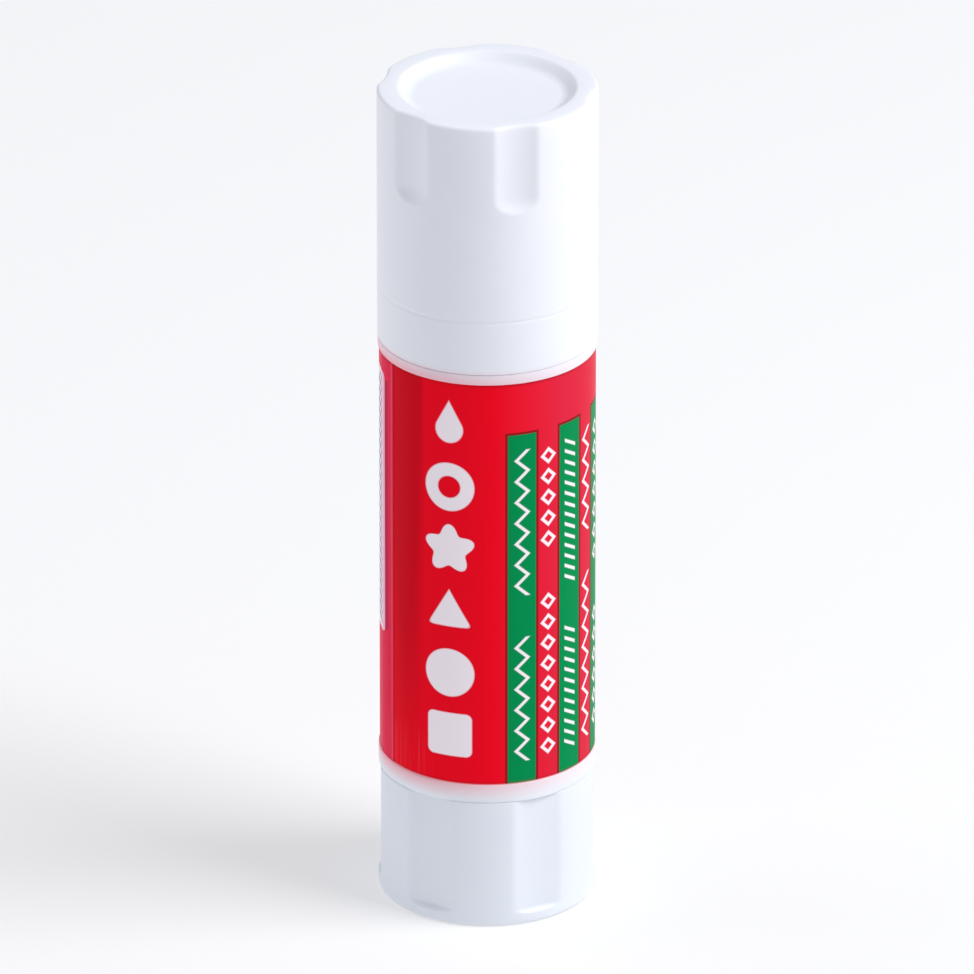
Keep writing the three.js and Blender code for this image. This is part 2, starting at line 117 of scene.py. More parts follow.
# Roundings of the fine and the hidden edges
HAIR_EDGE = 0.05 * MM
LINE_ROOT = 0.06 * MM           # at the bottom of the cap's fine line
SMALL_EDGE = 0.1 * MM
NECK_FOOT = 0.12 * MM           # where the barrel's neck meets its upper collar
INNER_EDGE = 0.15 * MM
LEDGE_EDGE = 0.18 * MM          # at the upper edge of the barrel's lower collar
ROUND_EDGE = 0.2 * MM
FILLET = 0.3 * MM
CREST = 0.35 * MM               # on the neck's bead, and round the hole in the glue
DEEP_FILLET = 0.4 * MM

# How the print fades, the painted reflection of the label's red on the white plastic, and the painted shade
# on the knob
PRINT_SOFTNESS = 0.05           # millimetres over which a printed edge fades
RED_BOUNCE = 0.6                      # how strong the painted reflection of the label's red is in the plastic at its edge
RED_BOUNCE_REACH = 1.9 * MM           # how far up and down from the label the painted reflection reaches
RED_BOUNCE_DEPTH = 1.2 * MM           # how far in from the collars' outside it reaches
RED_BOUNCE_FALL = 60                  # how much weaker it is for each metre to the right, where the light is
KNOB_SHADE = 0.85                  # how strong the painted shade on the knob is
KNOB_SHADE_FADE = 0.02 * MM        # height over which that ends at the knob's top

# The studio: a light's place is its turn, its elevation and its distance
KEY_PLACE = (math.radians(75), math.radians(48), 1.0)
KEY_WIDTH = 0.55
FILL_PLACE = (math.radians(-105), math.radians(20), 1.1)
FILL_WIDTH = 0.8
FLOOR_R = 6
FLOOR_DROP = 0.02 * MM          # how far the floor lies under the part
FLOOR_LIGHT = 0.41              # how strongly the floor gives off light
FLOOR_SHADE = 0.985             # what the floor's colour is multiplied by in its clouds
NEAREST = 0.01                  # what is closer to the camera isn't seen


def length(name, description, millimetres):
    """A length property, given in millimetres."""
    return FloatProperty(name=name, description=description, default=millimetres * MM,
                         min=0.0, unit="LENGTH", precision=5)


def turn(name, description, degrees):
    """An angle property, given in degrees."""
    return FloatProperty(name=name, description=description, default=math.radians(degrees), unit="ROTATION")


def copies(name, description, number):
    """A property that counts like things."""
    return IntProperty(name=name, description=description, default=number, min=0)


def power(name, description, watts):
    """A property for a light's power."""
    return FloatProperty(name=name, description=description, default=watts, subtype="POWER")


def colour(name, description, red, green, blue):
    """A colour property."""
    return FloatVectorProperty(name=name, description=description, default=(red, green, blue),
                               min=0.0, max=1.0, size=3, subtype="COLOR")


class CapSizes(bpy.types.PropertyGroup):
    """Sizes of the cap and of the seal inside it"""
    wall: length("Wall", "Thickness of the cap's side", 1.45)
    foot_edge: length("Lower edge", "Rounding of the cap's lower edge", 0.16)
    rim_edge: length("Rim edge", "Rounding of the rim's outside", 0.45)
    rim_width: length("Rim width", "From the cap's outside to where the recess starts to fall", 2.4)
    recess_slope: length("Recess slope", "How far inwards the recess's wall runs", 1.4)
    recess_depth: length("Recess depth", "How deep the top is sunk", 1.15)
    recess_edge: length("Recess edge", "Rounding at the recess's edge", 0.2)
    recess_foot: length("Recess foot", "Rounding where the recess's wall meets its floor", 0.55)
    line_rise: length("Line rise", "From the cap's lower edge up to the fine line", 6.3)
    line_width: length("Line width", "Width of the fine line", 0.5)
    line_depth: length("Line depth", "Depth of the fine line", 0.07)
    flute_turn: turn("Flute turn", "Turn of the first flute", 15.7)
    flute_depth: length("Flute depth", "Depth of a flute at its middle", 0.58)
    flute_scoop: length("Flute scoop", "Radius of a flute's hollow", 10.2)
    flute_length: length("Flute length", "From the cap's top down to a flute's lower end", 10.75)
    flute_end: length("Flute end", "Radius of the curve of a flute's lower end", 3.0)
    seal_gap: length("Seal gap", "Gap between the seal and the cap's ceiling", 0.3)
    seal_wall: length("Seal wall", "Thickness of the sealing cup's side", 0.65)
    seal_top: length("Seal top", "Thickness of the sealing cup's top", 0.9)
    seal_lip: length("Seal lip", "Chamfer of the sealing cup's lip", 0.3)


class KnobSizes(bpy.types.PropertyGroup):
    """Sizes of the turning knob"""
    wall: length("Wall", "Thickness of the knob's side", 1.7)
    floor: length("Floor", "Thickness of the knob's floor", 1.6)
    foot_edge: length("Lower edge", "Rounding of the knob's lower edge", 0.55)
    rim_edge: length("Rim edge", "Rounding of the knob's upper edge", 0.16)
    flute_turn: turn("Flute turn", "Turn of the first flute", 28.2)
    flute_depth: length("Flute depth", "Depth of a flute at its middle", 0.54)
    flute_scoop: length("Flute scoop", "Radius of a flute's hollow", 26.0)
    flute_foot: length("Flute foot", "From the knob's underside to a flute's lower end", 1.4)
    flute_end: length("Flute end", "Radius of the curve of a flute's lower end", 0.7)
    hub_radius: length("Hub radius", "Radius of the hub that holds the spindle's shank", 4.59)
    hub_top: length("Hub top", "Level of the hub's top", 9.9)
    socket_width: length("Socket width", "Width of the hub's square socket", 4.8)
    web_thickness: length("Web thickness", "Thickness of the webs round the hub", 0.8)
    web_top: length("Web top", "Level of the webs' tops", 3.7)
    web_count: copies("Webs", "How many webs hold the hub", 6)


class BarrelSizes(bpy.types.PropertyGroup):
    """Sizes of the barrel and of the film round it"""
    edge_gap: length("Edge gap", "Gap that shows over the knob and under the cap", 0.01)
    collar_edge: length("Collar edge", "Rounding of the upper collar's edges", 0.12)
    foot_edge: length("Lower edge", "Rounding of the lower collar's lower edge", 0.1)
    shoulder_lean: length("Shoulder lean", "How much wider the gap under the cap is at the left", 0.13)
    ledge: length("Ledge", "From the collars' outside to the wall under the film", 0.29)
    neck: length("Neck radius", "Radius of the neck inside the cap", 11.15)
    bead: length("Neck bead", "How far the neck's bead stands out", 0.1)
    bead_drop: length("Bead drop", "From the mouth down to the neck's bead", 4.0)
    bead_height: length("Bead height", "Height of the beads", 1.2)
    mouth_edge: length("Mouth edge", "Rounding of the mouth", 0.25)
    bore: length("Bore", "Radius of the glue's bore", 10.3)
    bulkhead_top: length("Bulkhead level", "Level of the bulkhead's upper face", 13.2)
    bulkhead: length("Bulkhead", "Thickness of the bulkhead", 1.6)
    bulkhead_bore: length("Bulkhead bore", "Radius of the hole for the spindle", 3.3)
    skirt: length("Skirt radius", "Radius of the skirt inside the knob", 10.8)
    skirt_wall: length("Skirt wall", "Thickness of the skirt", 1.4)
    skirt_bead: length("Skirt bead", "How far the skirt's bead stands out", 0.3)
    skirt_bead_rise: length("Skirt bead rise", "From the skirt's lower end to its bead", 1.8)
    rib_height: length("Rib height", "How far the guide ribs stand into the bore", 0.5)
    rib_width: length("Rib width", "Width of a guide rib", 1.2)
    rib_stop: length("Rib stop", "From the mouth down to the ribs' upper ends", 2.5)
    rib_count: copies("Ribs", "How many guide ribs there are", 4)
    film: length("Film", "Thickness of the label's film", 0.1)
    film_gap: length("Film gap", "Gap between the film's lapped end and its start", 0.01)
    lap_turn: turn("Lap turn", "Turn of the film's lapped end", -60.0)
    lap_width: length("Lap width", "How far the film's end laps over its start", 3.2)


class DriveSizes(bpy.types.PropertyGroup):
    """Sizes of the spindle and the glue"""
    root: length("Root radius", "Radius of the spindle under its thread", 2.5)
    thread: length("Thread depth", "How far the thread stands out", 1.0)
    thread_root: length("Thread root", "Half the thread's height at its root", 1.3)
    thread_crest: length("Thread crest", "Half the thread's height at its crest", 0.8)
    thread_start: length("Thread start", "Level of the middle of the thread's lower end", 16.3)
    journal: length("Journal radius", "Radius of the spindle in the bulkhead", 3.0)
    snap: length("Snap reach", "How far the snap ring stands out", 0.75)
    snap_height: length("Snap height", "Height of the snap ring", 1.1)
    snap_top: length("Snap level", "Level of the snap ring's upper face", 11.3)
    flange: length("Flange radius", "Radius of the flange on the bulkhead", 6.0)
    flange_foot: length("Flange level", "Level of the flange's underside", 13.5)
    flange_height: length("Flange height", "Thickness of the flange", 1.2)
    shank: length("Shank width", "Width of the square shank in the knob", 4.2)
    tip_edge: length("Tip edge", "Chamfer of the spindle's tip", 0.6)
    glue_hole: length("Glue hole", "Radius of the hole that the spindle leaves in the glue", 3.8)
    notch_width: length("Notch width", "Width of the notches for the barrel's ribs", 1.8)
    notch: length("Notch depth", "How far the notches reach in from the bore's wall", 0.8)
    glue_seat: length("Glue seat", "Gap between the carrier's rim and the glue over it", 0.3)
    glue_edge: length("Glue edge", "Rounding of the glue's top", 1.1)
    glue_foot: length("Glue foot radius", "Radius of the glue's foot in the carrier", 8.9)


class Finishes(bpy.types.PropertyGroup):
    """Colours of the materials and of the print"""
    plastic: colour("Plastic", "The white moulded plastic", 0.875, 0.88, 0.93)
    plastic_cool: colour("Plastic, cool", "The cooler tone that clouds the plastic", 0.835, 0.855, 0.915)
    # painted shade: the darker, bluer tone laid on the knob
    knob_shade: colour("Handled", "The knob's plastic, dulled by handling", 0.80, 0.84, 0.905)
    seal: colour("Seal", "The soft natural plastic of the seal", 0.80, 0.81, 0.80)
    glue: colour("Glue", "The waxy paste", 0.90, 0.885, 0.83)
    red: colour("Red", "The label's ground", 0.96, 0.003, 0.017)
    # painted sheen: the crimson that the red turns to on the right, towards the key light
    sheen_red: colour("Crimson", "What the ground turns to on the right", 0.71, 0.022, 0.055)
    # also the painted shade of the bulge at the lap
    red_dark: colour("Dark red", "The ground's darker clouds, and its bulge at the lap", 0.66, 0.002, 0.013)
    # the strip left of the lap, paler and more crimson than the ground
    red_lap: colour("Lap red", "The unvarnished strip at the lap", 0.82, 0.014, 0.068)
    # also a painted highlight on the film's cut edges, and painted reflection in its streaks
    edge: colour("Pale red", "The film's cut edges and streaks, and the figures' rims", 0.97, 0.340, 0.400)
    green: colour("Green", "The label's stripes", 0.001, 0.262, 0.076)
    # along the film's edges, painted shadow
    outline: colour("Outline", "Where the inks overlap, and along the film's edges", 0.15, 0.012, 0.008)
    print_white: colour("Print white", "The printed white", 0.97, 0.875, 0.92)
    small_print: colour("Small print", "The lines of the side panel", 0.085, 0.055, 0.085)
    panel_line: colour("Panel line", "The dark line along the side panel", 0.50, 0.012, 0.058)
    panel_tint: colour("Panel tint", "Where the red shines into the side panel", 0.97, 0.400, 0.600)
    # painted reflection of the label's red on the white plastic beside it
    red_bounce: colour("Glow", "What the label's red makes of the white plastic beside it", 0.93, 0.42, 0.48)
    floor: colour("Floor", "The studio's floor", 0.55, 0.55, 0.552)


class PrintLayout(bpy.types.PropertyGroup):
    """Places and sizes of the print, along the film and up it from the foot of the label's solid"""
    stripe_count: copies("Stripes", "How many green stripes there are", 5)
    stripe_turn: turn("First stripe", "Turn of the first stripe's middle", 18.7)
    stripe_pitch: turn("Stripe pitch", "Turn from one stripe to the next", 30.8)
    stripe_width: length("Stripe width", "Width of a stripe", 3.45)
    stripe_top: length("Stripe top", "From the label's foot to the stripes' tops", 44.3)
    outline: length("Outline", "Width of the dark line round a stripe", 0.32)
    rows_foot: length("Rows' foot", "From the label's foot to the lower ends of the rows of marks", 2.6)
    row_marks: copies("Marks", "How many marks long a row is", 15)
    mark_pitch: length("Mark pitch", "From one mark of a row to the next", 2.65)
    mark_reach: length("Mark reach", "Half the width of a row of marks", 0.9)
    mark_line: length("Mark line", "Width of the lines of the marks", 0.36)
    figure_turn: turn("Figures' turn", "Turn of the middle of the column of figures", -20.7)
    figure_foot: length("Figures' foot", "From the label's foot to the first figure's middle", 6.0)
    figure_pitch: length("Figure pitch", "From one figure to the next", 7.9)
    figure_radius: length("Figure radius", "Half the width of a figure", 3.25)
    drop_rise: length("Drop", "From the label's foot to the middle of the drop", 44.9)
    drop_radius: length("Drop radius", "Radius of the drop's round end", 1.75)
    # where the painted crimson sheen lies, on the right
    sheen_turn: turn("Crimson turn", "Turn of the middle of where the red turns to crimson", 90.0)
    sheen_half: turn("Crimson half", "From there to where the change to crimson starts", 86.0)
    sheen_reach: turn("Crimson reach", "Turn over which the red changes to crimson", 40.0)
    panel_turn: turn("Panel turn", "Turn of the white panel's right edge", -69.7)
    panel_width: length("Panel width", "Width of the white panel", 17.5)
    panel_foot: length("Panel foot", "From the label's foot to the panel's", 15.6)
    panel_top: length("Panel top", "From the label's foot to the panel's top", 48.6)
    panel_corner: length("Panel corner", "Rounding of the panel's corners", 0.8)
    line_pitch: length("Line pitch", "From one line of the panel to the next", 1.2)
    line_width: length("Line width", "Width of a line of the panel", 0.42)
    middle_line: IntProperty(name="Middle line", default=-1,
                             description="Lines from the panel's middle to the middle one, to the right")
    line_count: copies("Lines", "How many lines the panel holds", 9)
    hatch_inset: length("Hatching inset", "From the panel's right edge to the hatching's middle", 2.3)
    hatch_width: length("Hatching width", "Width of the band of slanted strokes", 2.4)
    hatch_pitch: length("Hatching pitch", "From one slanted stroke to the next", 1.35)


class Studio(bpy.types.PropertyGroup):
    """The camera and the lights"""
    elevation: turn("Camera elevation", "How far above the horizon the camera stands", 24.4)
    distance: length("Camera distance", "From the camera to what it looks at", 2000)
    frame_height: length("Frame height", "Width and height of what the camera sees", 113.41)
    aim_height: length("Aim height", "Level that the camera looks at", 50.73)
    aim_side: FloatProperty(name="Aim side", description="How far to +X the camera looks",
                            default=-0.05 * MM, unit="LENGTH", precision=5)
    key_power: power("Key power", "Power of the key light", 8.2)
    fill_power: power("Fill power", "Power of the fill light", 2.5)
    sky: colour("Sky", "Colour and strength of the light from all round", 0.41, 0.427, 0.468)


PROPERTY_GROUPS = {
    "glue_stick_cap": CapSizes,
    "glue_stick_knob": KnobSizes,
    "glue_stick_barrel": BarrelSizes,
    "glue_stick_drive": DriveSizes,
    "glue_stick_finishes": Finishes,
    "glue_stick_print": PrintLayout,
    "glue_stick_studio": Studio,
}


# Making the meshes

def turned(corners, steps, rows=()):
    """Turns an outline about the Z axis into a solid, and returns its bmesh.

    corners are (radius, height, rounding) in order round the section. An outline that starts on the axis
    ends on it too, and stays open there. rows are heights at which the outline gets more points."""
    bm = bmesh.new()
    points = [bm.verts.new((radius, 0.0, height)) for radius, height, _ in corners]
    for pair in zip(points, points[1:]):
        bm.edges.new(pair)
    if corners[0][0] > 0:
        bm.edges.new((points[-1], points[0]))
    for rounding in sorted({corner[2] for corner in corners if corner[2] > 0}):
        rounded = [point for point, corner in zip(points, corners) if corner[2] == rounding]
        bmesh.ops.bevel(bm, geom=rounded, offset=rounding, offset_type="OFFSET", affect="VERTICES",
                        segments=EDGE_SEGMENTS, profile=0.5, clamp_overlap=False, material=-1)
    for height in rows:
        bmesh.ops.bisect_plane(bm, geom=bm.verts[:] + bm.edges[:], dist=CUT_DISTANCE,
                               plane_co=(0, 0, height), plane_no=(0, 0, 1))
    sector = 2 * math.pi / SECTORS
    bmesh.ops.spin(bm, geom=bm.verts[:] + bm.edges[:], cent=(0, 0, 0), axis=(0, 0, 1), dvec=(0, 0, 0),
                   angle=sector, steps=steps // SECTORS, use_merge=False)
    while sector < 2 * math.pi:
        copied = bmesh.ops.duplicate(bm, geom=bm.verts[:] + bm.edges[:] + bm.faces[:])["geom"]
        bmesh.ops.rotate(bm, verts=[part for part in copied if isinstance(part, bmesh.types.BMVert)],
                         cent=(0, 0, 0), matrix=Matrix.Rotation(sector, 3, "Z"))
        sector *= 2
    bmesh.ops.remove_doubles(bm, verts=bm.verts, dist=MERGE_DISTANCE)
    return bm


def add_solid(bm, solid):
    """Adds another bmesh's faces to a bmesh."""
    between = bpy.data.meshes.new("Between")
    solid.to_mesh(between)
    solid.free()
    bm.from_mesh(between)
    bpy.data.meshes.remove(between)


def soft_least(first, second, softness):
    """The lesser of two lengths, run together where they are closer than softness."""
    overlap = max(softness - abs(first - second), 0.0) / softness
    return min(first, second) - overlap * overlap * softness / 4


def rows_between(low, high, spacing):
    """Heights from low to high, about spacing apart."""
    count = math.ceil((high - low) / spacing)
    return [low + (high - low) * i / count for i in range(count + 1)]


def flute_rows(foot, below, above, top):
    """Heights for a fluted wall: close together from below a flute's foot to above it, then wide apart."""
    return rows_between(foot - below, foot + above, FLUTE_ROW) + rows_between(foot + above, top, WALL_ROW)


def fluted(bm, first_turn, depth, scoop, end, foot, edge):
    """Hollows the grip flutes into the outside of a turned solid, whose rim is rounded by edge.

    A flute is what a round bar of radius scoop would cut, standing in front of the wall. The bar's lower
    end is rounded by end, so that the flute runs out at the level foot. The rim moves in with the wall,
    so its rounding follows the flutes."""
    straight = foot + end * math.sqrt(1 - (1 - depth / end) ** 2)
    bar = OUTSIDE_R - depth + scoop
    rim = OUTSIDE_R - edge * 1.1        # what lies further in stays as it is
    pitch = 2 * math.pi / FLUTE_COUNT
    for vert in bm.verts:
        x, y, z = vert.co
        drop = max(straight - z, 0.0) / end
        if math.hypot(x, y) < rim or drop >= 1:
            continue
        turn_here = math.atan2(x, -y)
        middle = first_turn + pitch * round((turn_here - first_turn) / pitch)
        beside = turn_here - middle
        wall = OUTSIDE_R * math.cos(beside)
        aside = OUTSIDE_R * math.sin(beside)
        reach = scoop - end * (1 - math.sqrt(1 - drop * drop))
        if abs(aside) < reach:
            cut = wall - soft_least(wall, bar - math.sqrt(reach * reach - aside * aside), FLUTE_SOFTNESS)
            vert.co.x -= cut * math.sin(middle)
            vert.co.y += cut * math.cos(middle)


def notched(bm, inner, width, count, low, high):
    """Sinks upright notches into the outside of a turned solid, down to the radius inner."""
    pitch = 2 * math.pi / count
    for vert in bm.verts:
        x, y, z = vert.co
        radius = math.hypot(x, y)
        nearest = pitch * round(math.atan2(y, x) / pitch)
        aside = y * math.cos(nearest) - x * math.sin(nearest)
        if radius > inner and abs(aside) < width / 2 and low <= z <= high:
            vert.co.x = x * inner / radius
            vert.co.y = y * inner / radius


def block(bm, width, depth, height, x, y, low, spin=0.0, edge=0.0):
    """An upright box given by its size and the middle of its underside, turned about the Z axis."""
    place = (Matrix.Rotation(spin, 4, "Z") @ Matrix.Translation((x, y, low + height / 2))
             @ Matrix.Diagonal((width, depth, height, 1)))
    made = bmesh.ops.create_cube(bm, size=1, matrix=place)
    if edge > 0:
        edges = list(dict.fromkeys(line for vert in made["verts"] for line in vert.link_edges))
        bmesh.ops.bevel(bm, geom=edges, offset=edge, affect="EDGES", segments=BLOCK_SEGMENTS, profile=0.5,
                        material=-1)


def finished(bm, name, node, material):
    """Makes the piece that stands for a node of the frame, on the node's own body."""
    bmesh.ops.recalc_face_normals(bm, faces=bm.faces)
    mesh = bpy.data.meshes.new(name)
    bm.to_mesh(mesh)
    bm.free()
    mesh.shade_smooth()
    mesh.set_sharp_from_angle(angle=CREASE_ANGLE)
    mesh.materials.append(material)
    piece = bpy.data.objects.new(name, mesh)
    bpy.context.scene.collection.objects.link(piece)
    shading = piece.modifiers.new("Even shading", "WEIGHTED_NORMAL")
    shading.keep_sharp = True
    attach(piece, BODY_OF[node])
    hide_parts(node)
    return piece


# Building the materials

class Value:
    """A number in a node tree that plain arithmetic turns into Math nodes."""

    def __init__(self, tree, socket):
        self.tree = tree
        self.socket = socket

    def math(self, operation, *others, clamp=False):
        """What a Math node makes of this number and the others."""
        node = self.tree.nodes.new("ShaderNodeMath")
        node.operation = operation
        node.use_clamp = clamp
        for place, term in enumerate((self, *others)):
            put(self.tree, term, node.inputs[place])
        return Value(self.tree, node.outputs[0])

    def __add__(self, other):
        return self.math("ADD", other)

    def __sub__(self, other):
        return self.math("SUBTRACT", other)

    def __mul__(self, other):
        return self.math("MULTIPLY", other)

    def __truediv__(self, other):
        return self.math("DIVIDE", other)

    def size(self):
        """This number without its sign."""
        return self.math("ABSOLUTE")

    def least(self, other):
        """The lesser of this number and another."""
        return self.math("MINIMUM", other)

    def most(self, other):
        """The greater of this number and another."""
        return self.math("MAXIMUM", other)

    def clamped(self):
        """This number, kept between 0 and 1."""
        return self.math("MULTIPLY", 1.0, clamp=True)

    def inside(self, softness=PRINT_SOFTNESS):
        """1 where this distance is under 0 and 0 where it is over, with a soft edge."""
        return self.math("MULTIPLY_ADD", -1 / softness, 0.5, clamp=True)


def put(tree, term, socket):
    """Sets a socket to a plain value, or links it to a Value or another socket."""
    if isinstance(term, Value):
        tree.links.new(term.socket, socket)
    elif isinstance(term, bpy.types.NodeSocket):
        tree.links.new(term, socket)
    else:
        socket.default_value = term


def placed(tree, kind, inputs=None, **settings):
    """A node of a kind, with its settings and the inputs that are named."""
    node = tree.nodes.new(kind)
    for name, setting in settings.items():
        setattr(node, name, setting)
    for name, term in (inputs or {}).items():
        put(tree, term, node.inputs[name])
    return node


def hypot(x, y):
    """How long a way is whose two sides, at right angles, are the Values x and y."""
    return (x * x + y * y).math("SQRT")


def solid_colour(paint):
    """A colour property as a socket takes it, and a socket as it is."""
    return paint if isinstance(paint, bpy.types.NodeSocket) else (*paint, 1.0)


def painted(under, over, mask, strength=1):
    """A colour laid over another where the mask, a Value, is 1; strength 1 covers it all."""
    cover = mask if strength == 1 else mask * strength
    node = placed(mask.tree, "ShaderNodeMix", {"Factor": cover}, data_type="RGBA")
    for name, paint in (("A", under), ("B", over)):
        socket = next(place for place in node.inputs if place.name == name and place.type == "RGBA")
        put(mask.tree, solid_colour(paint), socket)
    return next(place for place in node.outputs if place.type == "RGBA")


def object_place(tree):
    """The place on the piece as three Values, in metres."""
    coordinates = placed(tree, "ShaderNodeTexCoord")
    split = placed(tree, "ShaderNodeSeparateXYZ", {"Vector": coordinates.outputs["Object"]})
    return [Value(tree, socket) for socket in split.outputs]


def new_material(name, **plain):
    """A material with its shader's plain values set."""
    material = bpy.data.materials.new(name)
    material.use_nodes = True
    shader = material.node_tree.nodes["Principled BSDF"]
    for socket, value in plain.items():
        shader.inputs[socket.replace("_", " ")].default_value = value
    return material, material.node_tree, shader


def moulded_marks():
    """The node group of a moulded surface's marks: broad clouding, fine grain and scuffs."""
    if "Moulded marks" in bpy.data.node_groups:
        return bpy.data.node_groups["Moulded marks"]
    group = bpy.data.node_groups.new("Moulded marks", "ShaderNodeTree")
    for name in ("Cloud scale", "Grain scale", "Scuff scale"):
        socket = group.interface.new_socket(name, in_out="INPUT", socket_type="NodeSocketFloat")
        socket.default_value = 100.0
    for name in ("Clouds", "Grain", "Scuffs"):
        group.interface.new_socket(name, in_out="OUTPUT", socket_type="NodeSocketFloat")
    scales = group.nodes.new("NodeGroupInput").outputs
    marks = group.nodes.new("NodeGroupOutput").inputs
    place = placed(group, "ShaderNodeTexCoord").outputs["Object"]
    clouds = placed(group, "ShaderNodeTexNoise", {"Vector": place, "Scale": scales["Cloud scale"],
                                                  "Detail": 3.0, "Roughness": 0.55})
    grain = placed(group, "ShaderNodeTexNoise", {"Vector": place, "Scale": scales["Grain scale"],
                                                 "Detail": 2.0, "Roughness": 0.6})
    rubbed = placed(group, "ShaderNodeMapping", {"Vector": place, "Scale": (1.0, 1.0, 0.16)})
    scuffs = placed(group, "ShaderNodeTexNoise", {"Vector": rubbed.outputs["Vector"],
                                                  "Scale": scales["Scuff scale"], "Detail": 5.0,
                                                  "Roughness": 0.7, "Distortion": 0.4})
    worn = placed(group, "ShaderNodeMapRange", {"Value": scuffs.outputs[0], "From Min": 0.48,
                                                "From Max": 0.74}, interpolation_type="SMOOTHSTEP")
    put(group, clouds.outputs[0], marks["Clouds"])
    put(group, grain.outputs[0], marks["Grain"])
    put(group, worn.outputs[0], marks["Scuffs"])
    return group


def marks_on(tree, cloud_scale, grain_scale, scuff_scale):
    """The marks in a material, as Values; the larger a scale is, the finer are its marks."""
    node = placed(tree, "ShaderNodeGroup", {"Cloud scale": cloud_scale, "Grain scale": grain_scale,
                                            "Scuff scale": scuff_scale}, node_tree=moulded_marks())
    return [Value(tree, node.outputs[name]) for name in ("Clouds", "Grain", "Scuffs")]


def bumped(shader, height, strength, distance):
    """Gives a shader its small relief from a height, a Value."""
    bump = placed(height.tree, "ShaderNodeBump", {"Height": height, "Strength": strength,
                                                  "Distance": distance})
    put(height.tree, bump.outputs["Normal"], shader.inputs["Normal"])


def white_plastic():
    """The moulded white plastic, with painted shade on the knob and a painted reflection of the label's red
    beside the label.
    """
    if "White plastic" in bpy.data.materials:
        return bpy.data.materials["White plastic"]
    colours = bpy.context.scene.glue_stick_finishes
    material, tree, shader = new_material("White plastic", Specular_IOR_Level=0.4, Subsurface_Weight=0.25,
                                          Subsurface_Scale=0.9 * MM)
    shader.inputs["Subsurface Radius"].default_value = (1.0, 0.75, 0.75)
    clouds, grain, scuffs = marks_on(tree, cloud_scale=70.0, grain_scale=2600.0, scuff_scale=420.0)
    paint = painted(colours.plastic, colours.plastic_cool, clouds)
    x, y, z = object_place(tree)
    # painted shade: the knob, low by the floor, is painted darker and bluer
    on_knob = (z * -1 + (KNOB_TOP + KNOB_SHADE_FADE)).math("MULTIPLY", 1 / KNOB_SHADE_FADE, clamp=True)
    paint = painted(paint, colours.knob_shade, on_knob, strength=KNOB_SHADE)
    # painted reflection of the label's red, strongest next to the film and weaker to the right
    above = (z - LABEL_HIGH.z) / RED_BOUNCE_REACH
    below = (z * -1 + FILM_FOOT) / RED_BOUNCE_REACH
    nearness = above.most(below) * -1 + 1
    outside = hypot(x, y) / RED_BOUNCE_DEPTH + (1 - COLLAR_R / RED_BOUNCE_DEPTH)
    bounce_mask = nearness.least(outside).clamped()
    strength = (x * -RED_BOUNCE_FALL + 1) * RED_BOUNCE
    put(tree, painted(paint, colours.red_bounce, bounce_mask * strength), shader.inputs["Base Color"])
    put(tree, scuffs * 0.07 + clouds * 0.05 + 0.30, shader.inputs["Roughness"])
    bumped(shader, grain + clouds * 6.0, strength=0.35, distance=0.006 * MM)
    return material


def seal_plastic():
    """The softer plastic of the sealing cup."""
    colours = bpy.context.scene.glue_stick_finishes
    material, tree, shader = new_material("Seal plastic", Subsurface_Weight=0.4, Subsurface_Scale=1.2 * MM)
    clouds, grain, scuffs = marks_on(tree, cloud_scale=90.0, grain_scale=1500.0, scuff_scale=300.0)
    put(tree, painted(colours.seal, colours.plastic, clouds, strength=0.5), shader.inputs["Base Color"])
    put(tree, scuffs * 0.1 + 0.42, shader.inputs["Roughness"])
    bumped(shader, grain, strength=0.4, distance=0.01 * MM)
    return material


def glue_paste():
    """The waxy glue, smeared in rings on its top by use."""
    colours = bpy.context.scene.glue_stick_finishes
    material, tree, shader = new_material("Glue paste", Subsurface_Weight=0.6, Subsurface_Scale=2.0 * MM,
                                          Specular_IOR_Level=0.45)
    clouds, grain, scuffs = marks_on(tree, cloud_scale=160.0, grain_scale=900.0, scuff_scale=500.0)
    put(tree, painted(colours.glue, colours.seal, clouds, strength=0.45), shader.inputs["Base Color"])
    put(tree, scuffs * 0.25 + 0.36, shader.inputs["Roughness"])
    place = placed(tree, "ShaderNodeTexCoord").outputs["Object"]
    smears = placed(tree, "ShaderNodeTexWave", {"Vector": place, "Scale": 190.0, "Distortion": 5.0,
                                                "Detail": 3.0, "Detail Scale": 1.3},
                    wave_type="RINGS", rings_direction="Z")
    relief = Value(tree, smears.outputs[0]) + grain * 0.7 + clouds * 1.4
    bumped(shader, relief, strength=0.6, distance=0.07 * MM)
    return material


def rounded_box(x, y, half_x, half_y, corner):
    """How far a place is outside a box with round corners."""
    over_x = x.size() - (half_x - corner)
    over_y = y.size() - (half_y - corner)
    return hypot(over_x.most(0.0), over_y.most(0.0)) + over_x.most(over_y).least(0.0) - corner


def past_count(number, count):
    """Over 0 where a whole number, a Value, isn't one of 0 to count - 1, and under 0 where it is."""
    return (number * -1 - 0.5).most(number - (count - 0.5))


